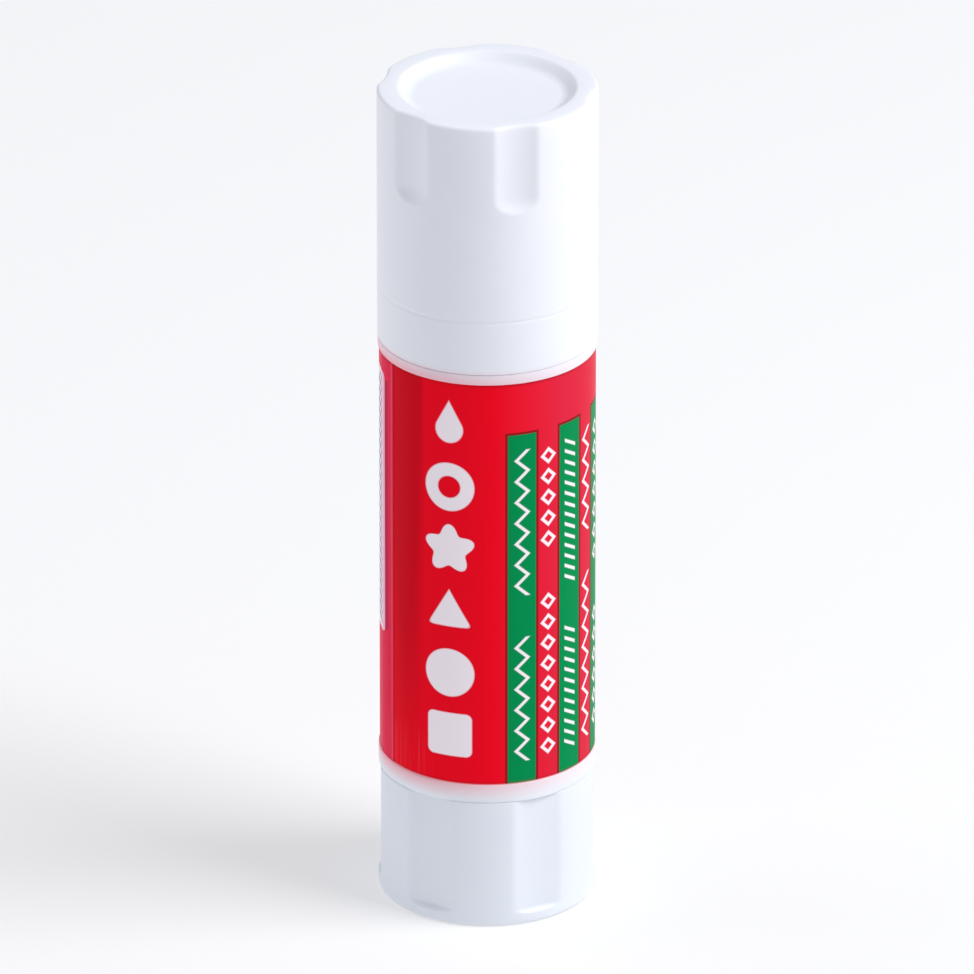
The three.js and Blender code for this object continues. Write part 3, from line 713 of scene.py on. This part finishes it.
def printed_figures(x, up, layout):
    """How far a place is outside the column of plain figures: block, disc, wedge, flower and ring.

    Each figure is drawn in shares of one radius that make them look equally large."""
    petal_count = 5.0
    radius = layout.figure_radius / MM
    levels = [(layout.figure_foot + i * layout.figure_pitch) / MM for i in range(5)]
    heights = [up - level for level in levels]
    lengths = [hypot(x, height) for height in heights]
    half_block = radius * 0.86
    square = rounded_box(x, heights[0], half_block, half_block, radius * 0.25)
    disc = lengths[1] - radius * 0.95
    wedge_height = heights[2] + radius * 0.12
    slant = x.size() * math.cos(math.pi / 6) + wedge_height * 0.5
    wedge = slant.math("SMOOTH_MAX", wedge_height * -1, radius * 0.3) - radius * 0.5
    petals = x.math("ARCTAN2", heights[3]) * petal_count
    flower = lengths[3] - petals.math("COSINE") * (radius * 0.16) - radius * 0.82
    ring = (lengths[4] - radius * 0.68).size() - radius * 0.27
    return square.least(disc).least(wedge).least(flower).least(ring)


def printed_drop(x, y, radius):
    """How far a place is outside a drop that stands on its round end."""
    lean = math.radians(28)
    round_end = hypot(x, y) - radius
    sides = x.size() * math.cos(lean) + y * math.sin(lean) - radius
    return round_end.least(sides.most(y * -1 + radius * math.sin(lean)))


def printed_rows(turn_here, up, layout):
    """How far a place is outside the rows of marks, one on each stripe and one between two.

    A row is a zigzag, a chain of lozenges or a ladder of slanted strokes, with a bare stretch in it."""
    slant = 0.55                # how far a stroke climbs for each millimetre across
    narrowing = 0.87            # how thick a slanted stroke is, against its height
    lozenge_share = 0.8         # from a lozenge's middle to its side, against a zigzag's swing
    bare_mark = 7.0             # marks from a row's foot to the middle of its bare stretch
    bare_shift = 2.0            # how many marks higher it is in every second row

    pitch = layout.stripe_pitch / 2
    step = layout.mark_pitch / MM
    reach = layout.mark_reach / MM
    line = layout.mark_line / 2 / MM
    swing = reach - line
    count = (turn_here - layout.stripe_turn) / pitch
    row = count.math("ROUND")
    aside = (count - row) * (pitch * PRINT_R)
    rise = up - layout.rows_foot / MM
    cell = rise.math("FLOORED_MODULO", step) - step / 2

    slope = 4 * swing / step
    zigzag = ((aside - cell.size() * slope + swing).size() / math.hypot(1, slope)) - line
    lozenges = ((aside.size() + cell.size()) * math.sqrt(0.5) - swing * lozenge_share).size() - line
    stroke = (rise + aside * slant).math("FLOORED_MODULO", step / 2) - step / 4
    ladder = (stroke.size() * narrowing - line).most(aside.size() - reach)
    kind = row.math("FLOORED_MODULO", 3.0)
    is_zigzag, is_lozenges, is_ladder = [kind.math("COMPARE", number, 0.5) for number in (0.0, 1.0, 2.0)]
    marks = zigzag * is_zigzag + lozenges * is_lozenges + ladder * is_ladder

    rise = rise + aside * is_ladder * slant
    ends = (rise * -1).most(rise - layout.row_marks * step)
    bare_middle = (row.math("FLOORED_MODULO", 2.0) * bare_shift + bare_mark) * step
    bare = (rise - bare_middle).size() * -1 + step
    return marks.most(ends).most(bare).most(past_count(row, 2 * layout.stripe_count))


def printed_panel_lines(x, up, layout):
    """How far a place is outside the panel's lines, which are broken up as lines of small print are."""
    break_scale = 0.75          # the larger, the shorter are the pieces of a line
    line_shift = 5.3            # keeps the breaks of neighbouring lines apart
    sharpness = 8.0             # how sharply a piece of a line ends
    bareness = 3.5              # how much of a line is left out
    pitch = layout.line_pitch / MM
    line = (x / pitch).math("ROUND")
    aside = (x - line * pitch).size() - layout.line_width / 2 / MM
    place = placed(x.tree, "ShaderNodeCombineXYZ", {"X": up * break_scale, "Y": line * line_shift})
    noise = placed(x.tree, "ShaderNodeTexNoise", {"Vector": place.outputs[0], "Scale": 1.0, "Detail": 1.0})
    breaks = Value(x.tree, noise.outputs[0]) * -sharpness + bareness
    used = (line - layout.middle_line).size() - (layout.line_count / 2)
    return aside.most(breaks).most(used)


def printed_hatching(x, up, layout):
    """How far a place is outside the band of slanted strokes down the panel's right side."""
    slant = 0.45                # how far a stroke falls for each millimetre across
    half_stroke = 0.2           # half a stroke's height, against the pitch
    middle = x - (layout.panel_width / 2 - layout.hatch_inset) / MM
    step = layout.hatch_pitch / MM
    stroke = (up + middle * slant).math("FLOORED_MODULO", step) - step / 2
    return (stroke.size() - step * half_stroke).most(middle.size() - layout.hatch_width / 2 / MM)


def ground_paint(turn_here, clouds, colours, layout):
    """The red ground, slightly clouded, with a painted crimson sheen on the right, where the key light is.
    """
    # painted sheen: the red turns crimson on the right, towards the key light
    off_middle = (turn_here - layout.sheen_turn).size()
    across = ((off_middle * -1 + layout.sheen_half) / layout.sheen_reach).clamped()
    paint = painted(colours.red, colours.sheen_red, across)
    return painted(paint, colours.red_dark, clouds, strength=0.2)


def lap_paint(paint, past_lap, along, up, colours):
    """What the film's lapped end does to the red: painted shade of a bulge to its right, a paler crimson
    strip to its left, a painted highlight on its cut edge, and pale upright streaks of painted reflection
    low down."""
    bulge_middle = 2.3          # millimetres from the lap to the bulge's middle
    bulge_half = 3.2            # half the bulge's width
    bulge_foot = 0.15           # how dark the painted shade of the bulge is at the film's foot
    bulge_rise = 0.045          # how much darker it is for each millimetre up
    strip_start = 2.0           # how strongly the strip is painted crimson at the lap, where over 1 is 1
    strip_fall = 0.25           # how much less it is for each millimetre to the left
    half_edge = 0.22            # half the width of the painted highlight on the cut edge
    streak_scale = (2.6, 0.045)     # how fine the streaks are across the film and up it
    streak_contrast = 6.0       # how sharply a streak stands out
    streak_height = 7.0         # how far up the streaks reach
    height_fade = 0.15          # how much weaker they are for each millimetre up
    streak_middle = -2.5        # millimetres from the lap to the streaks' middle
    streak_half = 9.5           # half the width over which they lie
    side_fade = 0.2             # how much weaker they are for each millimetre from their middle

    # painted shade of a bulge in the film, right of the lap
    bulge = (((past_lap - bulge_middle) / bulge_half).math("POWER", 2.0) * -1 + 1).most(0.0)
    bulge = bulge.math("MULTIPLY", up * bulge_rise + bulge_foot, clamp=True)
    paint = painted(paint, colours.red_dark, bulge)
    to_left = past_lap.inside(softness=0.3)
    strip = (past_lap * strip_fall + strip_start).math("MULTIPLY", to_left, clamp=True)
    paint = painted(paint, colours.red_lap, strip)
    # painted highlight on the lap's cut edge
    cut_edge_highlight = (past_lap + half_edge).size() - half_edge
    paint = painted(paint, colours.edge, cut_edge_highlight.inside(softness=0.15), strength=0.14)

    # painted reflection: pale upright streaks low down near the lap
    stretched = placed(up.tree, "ShaderNodeCombineXYZ", {"X": along * streak_scale[0],
                                                         "Y": up * streak_scale[1]})
    noise = placed(up.tree, "ShaderNodeTexNoise", {"Vector": stretched.outputs[0], "Scale": 1.0,
                                                   "Detail": 2.0})
    streaks = (Value(up.tree, noise.outputs[0]) - 0.5).math("MULTIPLY", streak_contrast, clamp=True)
    near_lap = ((past_lap - streak_middle).size() * -1 + streak_half) * side_fade
    low_left = near_lap.least((up * -1 + streak_height) * height_fade).clamped()
    return painted(paint, colours.edge, streaks * low_left, strength=0.11)


def stripe_paint(paint, turn_here, up, colours, layout):
    """The green stripes, each with a dark line round it where the inks overlap."""
    count = (turn_here - layout.stripe_turn) / layout.stripe_pitch
    stripe = count.math("ROUND")
    aside = ((count - stripe) * (layout.stripe_pitch * PRINT_R)).size() - layout.stripe_width / 2 / MM
    stripes = aside.most(up - layout.stripe_top / MM).most(past_count(stripe, layout.stripe_count))
    paint = painted(paint, colours.outline, (stripes - layout.outline / MM).inside(), strength=0.8)
    return painted(paint, colours.green, stripes.inside())


def panel_paint(paint, along, up, colours, layout):
    """The white side panel with its broken lines and slanted strokes, and the dark line along it."""
    border_width = 0.9
    border_rise = 0.6           # how much shorter the dark line is than the panel at each end
    tint_width = 1.6            # how far in from the panel's right edge the red shines
    tint_rise = 0.7             # how much stronger it shines for each millimetre towards that edge
    line_margin = 1.8           # from the panel's edge to its lines
    hatch_margin = 0.7          # from the panel's edge to the slanted strokes

    half_width = layout.panel_width / 2 / MM
    half_height = (layout.panel_top - layout.panel_foot) / 2 / MM
    x = along - (layout.panel_turn * PRINT_R - half_width)
    y = up - (layout.panel_foot + layout.panel_top) / 2 / MM
    panel = rounded_box(x, y, half_width, half_height, layout.panel_corner / MM)
    beside = x - half_width
    border = (beside - border_width).most(beside * -1).most(y.size() - half_height + border_rise)
    paint = painted(paint, colours.panel_line, border.inside(softness=0.2))
    reddened = (beside + tint_width).math("MULTIPLY", tint_rise, clamp=True)
    ground = painted(colours.print_white, colours.panel_tint, reddened)
    paint = painted(paint, ground, panel.inside())
    lines = printed_panel_lines(x, up, layout).most(panel + line_margin)
    strokes = printed_hatching(x, up, layout).most(panel + hatch_margin)
    return painted(paint, colours.small_print, lines.least(strokes).inside(softness=0.12), strength=0.92)


def figure_paint(paint, turn_here, along, up, colours, layout):
    """The column of plain figures with the drop over it, and the rows of marks."""
    shade_width = 0.12          # of the dark line round a figure
    rim_width = 0.1             # of the pale red line inside a figure's edge
    beside = along - layout.figure_turn * PRINT_R
    figures = printed_figures(beside, up, layout)
    drop = printed_drop(beside, up - layout.drop_rise / MM, layout.drop_radius / MM)
    column = figures.least(drop)
    paint = painted(paint, colours.red_dark, (figures - shade_width).inside(), strength=0.6)
    paint = painted(paint, colours.edge, column.inside())
    white = (column + rim_width).least(printed_rows(turn_here, up, layout))
    return painted(paint, colours.print_white, white.inside(softness=0.12))


def edge_paint(paint, up, colours):
    """The film's cut edges: a painted shadow line along both, and a painted highlight line at the foot."""
    shadow_width = 0.35
    highlight_width = 0.1
    foot = up + (LABEL_LOW.z - FILM_FOOT) / MM
    top = up * -1 + (LABEL_HIGH.z - LABEL_LOW.z) / MM
    # painted shadow along both edges
    dark = (foot.least(top) - shadow_width).inside(softness=0.25)
    paint = painted(paint, colours.outline, dark, strength=0.22)
    # painted highlight along the foot
    return painted(paint, colours.edge, (foot - highlight_width).inside(softness=0.1), strength=0.8)


def label_film():
    """The printed film, painted from its red ground up."""
    scene = bpy.context.scene
    colours = scene.glue_stick_finishes
    layout = scene.glue_stick_print
    material, tree, shader = new_material("Label film", Specular_IOR_Level=0.02)
    clouds, grain, scuffs = marks_on(tree, cloud_scale=60.0, grain_scale=900.0, scuff_scale=260.0)
    x, y, z = object_place(tree)
    turn_here = x.math("ARCTAN2", y * -1)
    along = turn_here * PRINT_R
    up = z * (1 / MM) - LABEL_LOW.z / MM
    past_lap = (turn_here - scene.glue_stick_barrel.lap_turn) * PRINT_R

    paint = ground_paint(turn_here, clouds, colours, layout)
    paint = lap_paint(paint, past_lap, along, up, colours)
    paint = stripe_paint(paint, turn_here, up, colours, layout)
    paint = panel_paint(paint, along, up, colours, layout)
    paint = figure_paint(paint, turn_here, along, up, colours, layout)
    paint = edge_paint(paint, up, colours)

    put(tree, paint, shader.inputs["Base Color"])
    put(tree, scuffs * 0.08 + clouds * 0.04 + 0.34, shader.inputs["Roughness"])
    bumped(shader, clouds * 3.0 + grain, strength=0.3, distance=0.01 * MM)
    return material


def floor_paper():
    """The studio's floor: pale paper lit from below, which keeps the shadows light."""
    colours = bpy.context.scene.glue_stick_finishes
    material, tree, shader = new_material("Floor paper", Specular_IOR_Level=0.1, Roughness=0.9,
                                          Emission_Color=(1.0, 1.0, 1.0, 1.0),
                                          Emission_Strength=FLOOR_LIGHT)
    clouds, grain, _ = marks_on(tree, cloud_scale=3.0, grain_scale=900.0, scuff_scale=100.0)
    shaded = tuple(part * FLOOR_SHADE for part in colours.floor)
    put(tree, painted(colours.floor, shaded, clouds), shader.inputs["Base Color"])
    bumped(shader, grain, strength=0.05, distance=0.02 * MM)
    return material


def away(turn_from_front, elevation, distance):
    """The way to a place that is so far off, at that turn and elevation."""
    level = distance * math.cos(elevation)
    return Vector((level * math.sin(turn_from_front), -level * math.cos(turn_from_front),
                   distance * math.sin(elevation)))


# One operator for each piece, and one for the stage

class OBJECT_OT_glue_stick_cap(bpy.types.Operator):
    """Make the fluted cap with its sunk top"""
    bl_idname = "object.glue_stick_cap"
    bl_label = "Cap"

    def execute(self, context):
        sizes = context.scene.glue_stick_cap
        bore = OUTSIDE_R - sizes.wall
        recess = OUTSIDE_R - sizes.rim_width
        floor = CAP_TOP - sizes.recess_depth
        ceiling = SEAL_HIGH.z + sizes.seal_gap
        line = CAP_FOOT + sizes.line_rise
        flute_foot = CAP_TOP - sizes.flute_length
        rows = flute_rows(flute_foot, below=0.4 * MM, above=sizes.flute_end * 0.6,
                          top=CAP_TOP - sizes.rim_edge)
        bm = turned([
            (0, floor, 0),
            (recess - sizes.recess_slope, floor, sizes.recess_foot),
            (recess, CAP_TOP, sizes.recess_edge),
            (OUTSIDE_R, CAP_TOP, sizes.rim_edge),
            (OUTSIDE_R, line + sizes.line_width, HAIR_EDGE),
            (OUTSIDE_R - sizes.line_depth, line + sizes.line_width / 2, LINE_ROOT),
            (OUTSIDE_R, line, HAIR_EDGE),
            (OUTSIDE_R, CAP_FOOT, sizes.foot_edge),
            (bore, CAP_FOOT, INNER_EDGE),
            (bore, ceiling, DEEP_FILLET),
            (0, ceiling, 0),
        ], FLUTED_STEPS, rows)
        fluted(bm, sizes.flute_turn, sizes.flute_depth, sizes.flute_scoop, sizes.flute_end, flute_foot,
               sizes.rim_edge)
        finished(bm, "cap_moulding", "cap", white_plastic())
        return {"FINISHED"}


class OBJECT_OT_glue_stick_seal(bpy.types.Operator):
    """Make the sealing cup inside the cap"""
    bl_idname = "object.glue_stick_seal"
    bl_label = "Seal"

    def execute(self, context):
        sizes = context.scene.glue_stick_cap
        outer = SEAL_HIGH.y
        bore = outer - sizes.seal_wall
        ceiling = SEAL_HIGH.z - sizes.seal_top
        bm = turned([
            (0, ceiling, 0),
            (bore, ceiling, sizes.seal_lip),
            (bore, SEAL_LOW.z + sizes.seal_lip, 0),
            (bore + sizes.seal_lip, SEAL_LOW.z, HAIR_EDGE),
            (outer, SEAL_LOW.z, SMALL_EDGE),
            (outer, SEAL_HIGH.z, sizes.seal_lip),
            (0, SEAL_HIGH.z, 0),
        ], ROUND_STEPS)
        finished(bm, "seal_cup", "cap_seal", seal_plastic())
        return {"FINISHED"}


class OBJECT_OT_glue_stick_knob(bpy.types.Operator):
    """Make the fluted turning knob with its hub and webs"""
    bl_idname = "object.glue_stick_knob"
    bl_label = "Knob"

    def execute(self, context):
        sizes = context.scene.glue_stick_knob
        bore = OUTSIDE_R - sizes.wall
        foot = sizes.flute_foot
        rows = flute_rows(foot, below=0.1 * MM, above=sizes.flute_end, top=KNOB_TOP - sizes.rim_edge)
        bm = turned([
            (0, 0, 0),
            (OUTSIDE_R, 0, sizes.foot_edge),
            (OUTSIDE_R, KNOB_TOP, sizes.rim_edge),
            (bore, KNOB_TOP, INNER_EDGE),
            (bore, sizes.floor, DEEP_FILLET),
            (0, sizes.floor, 0),
        ], FLUTED_STEPS, rows)
        fluted(bm, sizes.flute_turn, sizes.flute_depth, sizes.flute_scoop, sizes.flute_end, foot,
               sizes.rim_edge)
        self.add_hub(bm, sizes, bore)
        finished(bm, "knob_moulding", "knob", white_plastic())
        return {"FINISHED"}

    def add_hub(self, bm, sizes, bore):
        """Adds the round hub with its square socket, and the webs that hold it."""
        half = sizes.socket_width / 2
        low = sizes.floor - JOIN_SINK
        hub = turned([
            (half, low, 0),
            (sizes.hub_radius, low, 0),
            (sizes.hub_radius, sizes.hub_top, ROUND_EDGE),
            (half, sizes.hub_top, 0),
        ], SMALL_STEPS)
        for vert in hub.verts:
            if math.hypot(vert.co.x, vert.co.y) < half * NEARLY:
                stretch = half / max(abs(vert.co.x), abs(vert.co.y))
                vert.co.x *= stretch
                vert.co.y *= stretch
        add_solid(bm, hub)
        start = sizes.hub_radius - JOIN_SINK
        reach = bore + JOIN_SINK - start
        for i in range(sizes.web_count):
            block(bm, reach, sizes.web_thickness, sizes.web_top - low, start + reach / 2, 0, low,
                  spin=i * 2 * math.pi / sizes.web_count)


class OBJECT_OT_glue_stick_barrel(bpy.types.Operator):
    """Make the barrel with its collars, neck, bulkhead, skirt and guide ribs"""
    bl_idname = "object.glue_stick_barrel"
    bl_label = "Barrel"

    def execute(self, context):
        sizes = context.scene.glue_stick_barrel
        foot = KNOB_TOP + sizes.edge_gap
        shoulder = CAP_FOOT - sizes.edge_gap
        skirt_foot = BARREL_LOW.z
        skirt_bore = sizes.skirt - sizes.skirt_wall
        bead_foot = skirt_foot + sizes.skirt_bead_rise
        bead_top = bead_foot + sizes.bead_height
        neck_bead_top = MOUTH - sizes.bead_drop
        neck_bead_foot = neck_bead_top - sizes.bead_height
        under_film = COLLAR_R - sizes.ledge
        bulkhead_foot = sizes.bulkhead_top - sizes.bulkhead
        bm = turned([
            (skirt_bore, skirt_foot, 0),
            (sizes.skirt, skirt_foot, sizes.skirt_bead),
            (sizes.skirt, bead_foot, 0),
            (sizes.skirt + sizes.skirt_bead, bead_foot + sizes.skirt_bead, SMALL_EDGE),
            (sizes.skirt + sizes.skirt_bead, bead_top - sizes.skirt_bead, SMALL_EDGE),
            (sizes.skirt, bead_top, 0),
            (sizes.skirt, foot, SMALL_EDGE),
            (COLLAR_R, foot, sizes.foot_edge),
            (COLLAR_R, FILM_FOOT, LEDGE_EDGE),
            (under_film, FILM_FOOT, 0),
            (under_film, LABEL_HIGH.z, 0),
            (COLLAR_R, LABEL_HIGH.z, sizes.collar_edge),
            (COLLAR_R, shoulder, sizes.collar_edge),
            (sizes.neck, shoulder, NECK_FOOT),
            (sizes.neck, neck_bead_foot, 0),
            (sizes.neck + sizes.bead, neck_bead_foot + sizes.bead_height / 2, CREST),
            (sizes.neck, neck_bead_top, 0),
            (sizes.neck, MOUTH, sizes.mouth_edge),
            (sizes.bore, MOUTH, sizes.mouth_edge),
            (sizes.bore, sizes.bulkhead_top, FILLET),
            (sizes.bulkhead_bore, sizes.bulkhead_top, SMALL_EDGE),
            (sizes.bulkhead_bore, bulkhead_foot, SMALL_EDGE),
            (skirt_bore, bulkhead_foot, FILLET),
        ], ROUND_STEPS)
        for vert in bm.verts:
            if vert.co.x < 0 and abs(vert.co.z - shoulder) < sizes.collar_edge * NEARLY:
                vert.co.z -= sizes.shoulder_lean * (vert.co.x / COLLAR_R) ** 2
        depth = sizes.rib_height + JOIN_SINK
        low = sizes.bulkhead_top - JOIN_SINK
        for i in range(sizes.rib_count):
            block(bm, depth, sizes.rib_width, MOUTH - sizes.rib_stop - low,
                  sizes.bore - sizes.rib_height + depth / 2, 0, low,
                  spin=i * 2 * math.pi / sizes.rib_count, edge=INNER_EDGE)
        finished(bm, "barrel_tube", "barrel", white_plastic())
        return {"FINISHED"}


class OBJECT_OT_glue_stick_label(bpy.types.Operator):
    """Wrap the printed film round the barrel, with its end lapped over its start"""
    bl_idname = "object.glue_stick_label"
    bl_label = "Label"

    def execute(self, context):
        sizes = context.scene.glue_stick_barrel
        tall = LABEL_HIGH.z - FILM_FOOT
        wide = 2 * math.pi * FILM_R + sizes.lap_width
        start = sizes.lap_turn - sizes.lap_width / FILM_R
        ramp = LAP_RAMP / FILM_R
        bm = bmesh.new()
        bmesh.ops.create_grid(bm, x_segments=ROUND_STEPS, y_segments=FILM_ROWS, size=1,
                              matrix=Matrix.Diagonal((wide / 2, tall / 2, 1, 1)))
        for vert in bm.verts:
            wound = (vert.co.x + wide / 2) / FILM_R
            over = min(max((wound - 2 * math.pi) / ramp + 1, 0.0), 1.0)
            radius = FILM_R + (sizes.film + sizes.film_gap) * over * over * (3 - 2 * over)
            height = vert.co.y + (FILM_FOOT + LABEL_HIGH.z) / 2
            vert.co = (radius * math.sin(start + wound), -radius * math.cos(start + wound), height)
        bm.normal_update()
        bmesh.ops.solidify(bm, geom=bm.faces[:], thickness=sizes.film)
        finished(bm, "label_film", "label", label_film())
        return {"FINISHED"}


class OBJECT_OT_glue_stick_spindle(bpy.types.Operator):
    """Make the threaded spindle with its flange, snap ring and square shank"""
    bl_idname = "object.glue_stick_spindle"
    bl_label = "Spindle"

    def execute(self, context):
        sizes = context.scene.glue_stick_drive
        tip = SPINDLE_HIGH.z
        snap_foot = sizes.snap_top - sizes.snap_height
        flange_top = sizes.flange_foot + sizes.flange_height
        bm = turned([
            (0, snap_foot, 0),
            (sizes.journal, snap_foot, 0),
            (sizes.journal + sizes.snap, sizes.snap_top - sizes.snap_height / 3, SMALL_EDGE),
            (sizes.journal + sizes.snap, sizes.snap_top, HAIR_EDGE),
            (sizes.journal, sizes.snap_top, 0),
            (sizes.journal, sizes.flange_foot, 0),
            (sizes.flange, sizes.flange_foot, SMALL_EDGE),
            (sizes.flange, flange_top, ROUND_EDGE),
            (sizes.root, flange_top, 0),
            (sizes.root, tip, sizes.tip_edge),
            (0, tip, 0),
        ], SMALL_STEPS)
        shank_top = snap_foot + JOIN_SINK
        block(bm, sizes.shank, sizes.shank, shank_top - SPINDLE_LOW.z, 0, 0, SPINDLE_LOW.z, edge=ROUND_EDGE)
        self.add_thread(bm, sizes, tip - sizes.tip_edge - sizes.thread_root)
        finished(bm, "spindle_screw", "spindle", white_plastic())
        return {"FINISHED"}

    def add_thread(self, bm, sizes, top):
        """Winds the thread's section up the rod, left-handed as the frame's thread is."""
        slope = (sizes.thread_root - sizes.thread_crest) / sizes.thread
        sunk = sizes.thread_root + slope * JOIN_SINK
        crest = sizes.root + sizes.thread
        section = bm.faces.new([bm.verts.new((radius, 0, sizes.thread_start + rise)) for radius, rise in (
            (sizes.root - JOIN_SINK, -sunk),
            (crest, -sizes.thread_crest),
            (crest, sizes.thread_crest),
            (sizes.root - JOIN_SINK, sunk),
        )])
        turns = (top - sizes.thread_start) / LEAD
        bmesh.ops.spin(bm, geom=[section], cent=(0, 0, 0), axis=(0, 0, 1),
                       dvec=(0, 0, LEAD / THREAD_STEPS), angle=-2 * math.pi * turns,
                       steps=round(turns * THREAD_STEPS), use_merge=False)


class OBJECT_OT_glue_stick_glue(bpy.types.Operator):
    """Make the glue, with its foot in the carrier, and give the carrier its finish"""
    bl_idname = "object.glue_stick_glue"
    bl_label = "Glue and carrier"

    def execute(self, context):
        sizes = context.scene.glue_stick_drive
        barrel = context.scene.glue_stick_barrel
        outer = GLUE_HIGH.x
        step = CARRIER_HIGH.z + sizes.glue_seat
        bm = turned([
            (sizes.glue_hole, GLUE_LOW.z, 0),
            (sizes.glue_foot, GLUE_LOW.z, 0),
            (sizes.glue_foot, step, 0),
            (outer, step, 0),
            (outer, GLUE_HIGH.z, sizes.glue_edge),
            (sizes.glue_hole, GLUE_HIGH.z, CREST),
        ], ROUND_STEPS)
        notched(bm, barrel.bore - sizes.notch, sizes.notch_width, barrel.rib_count, step, GLUE_HIGH.z)
        finished(bm, "glue_column", "glue", glue_paste())
        frame["nodes"]["carrier"].data.materials.clear()
        frame["nodes"]["carrier"].data.materials.append(white_plastic())
        return {"FINISHED"}


class OBJECT_OT_glue_stick_stage(bpy.types.Operator):
    """Make the floor, the lights and the camera"""
    bl_idname = "object.glue_stick_stage"
    bl_label = "Floor, lights and camera"

    def execute(self, context):
        studio = context.scene.glue_stick_studio
        self.add_floor(context.scene)
        middle = Vector((0, 0, CAP_TOP / 2))
        self.add_light(context.scene, "Key", middle, KEY_PLACE, KEY_WIDTH, studio.key_power)
        self.add_light(context.scene, "Fill", middle, FILL_PLACE, FILL_WIDTH, studio.fill_power)
        self.add_camera(context.scene, studio)
        world = bpy.data.worlds.new("Sky")
        world.use_nodes = True
        world.node_tree.nodes["Background"].inputs["Color"].default_value = (*studio.sky, 1)
        context.scene.world = world
        context.scene.view_settings.view_transform = "Standard"
        return {"FINISHED"}

    def add_floor(self, scene):
        """Adds the round floor that the part stands on."""
        bm = bmesh.new()
        bmesh.ops.create_circle(bm, cap_ends=True, segments=FLOOR_STEPS, radius=FLOOR_R,
                                matrix=Matrix.Translation((0, 0, -FLOOR_DROP)))
        mesh = bpy.data.meshes.new("floor")
        bm.to_mesh(mesh)
        bm.free()
        mesh.materials.append(floor_paper())
        floor = bpy.data.objects.new("floor", mesh)
        scene.collection.objects.link(floor)

    def add_light(self, scene, name, aim, place, width, watts):
        """Adds a square soft light; place is its turn, its elevation and its distance."""
        light = bpy.data.lights.new(name, "AREA")
        light.size = width
        light.energy = watts
        lamp = bpy.data.objects.new(name, light)
        scene.collection.objects.link(lamp)
        lamp.location = aim + away(*place)
        lamp.rotation_euler = (aim - lamp.location).to_track_quat("-Z", "Y").to_euler()

    def add_camera(self, scene, studio):
        """Adds the camera at the photograph's viewing angle."""
        camera = bpy.data.cameras.new("Camera")
        camera.lens = camera.sensor_width * studio.distance / studio.frame_height
        camera.clip_start = NEAREST
        holder = bpy.data.objects.new("Camera", camera)
        scene.collection.objects.link(holder)
        aim = Vector((studio.aim_side, 0, studio.aim_height))
        holder.location = aim + away(0, studio.elevation, studio.distance)
        holder.rotation_euler = (aim - holder.location).to_track_quat("-Z", "Y").to_euler()
        scene.camera = holder


class VIEW3D_PT_glue_stick(bpy.types.Panel):
    """Lists the glue stick's operators and sizes"""
    bl_idname = "VIEW3D_PT_glue_stick"
    bl_label = "Glue stick"
    bl_space_type = "VIEW_3D"
    bl_region_type = "UI"
    bl_category = "Glue stick"

    def draw(self, context):
        column = self.layout.column()
        for operator in OPERATORS:
            column.operator(operator.bl_idname)
        for name, group in PROPERTY_GROUPS.items():
            box = self.layout.box()
            box.label(text=group.bl_rna.description)
            for size in group.__annotations__:
                box.prop(getattr(context.scene, name), size)


OPERATORS = (
    OBJECT_OT_glue_stick_knob,
    OBJECT_OT_glue_stick_spindle,
    OBJECT_OT_glue_stick_barrel,
    OBJECT_OT_glue_stick_label,
    OBJECT_OT_glue_stick_glue,
    OBJECT_OT_glue_stick_seal,
    OBJECT_OT_glue_stick_cap,
    OBJECT_OT_glue_stick_stage,
)


def register():
    """Makes the classes known to Blender, and gives the scene its sizes and colours."""
    for shown in (*PROPERTY_GROUPS.values(), *OPERATORS, VIEW3D_PT_glue_stick):
        bpy.utils.register_class(shown)
    for name, group in PROPERTY_GROUPS.items():
        setattr(bpy.types.Scene, name, PointerProperty(type=group))


def unregister():
    """Takes back what register did."""
    for name in PROPERTY_GROUPS:
        delattr(bpy.types.Scene, name)
    for shown in (VIEW3D_PT_glue_stick, *reversed(OPERATORS), *reversed(PROPERTY_GROUPS.values())):
        bpy.utils.unregister_class(shown)


def main():
    """Makes every piece and the stage."""
    register()
    bpy.ops.object.glue_stick_knob()
    bpy.ops.object.glue_stick_spindle()
    bpy.ops.object.glue_stick_barrel()
    bpy.ops.object.glue_stick_label()
    bpy.ops.object.glue_stick_glue()
    bpy.ops.object.glue_stick_seal()
    bpy.ops.object.glue_stick_cap()
    bpy.ops.object.glue_stick_stage()


if __name__ == "__main__":
    main()
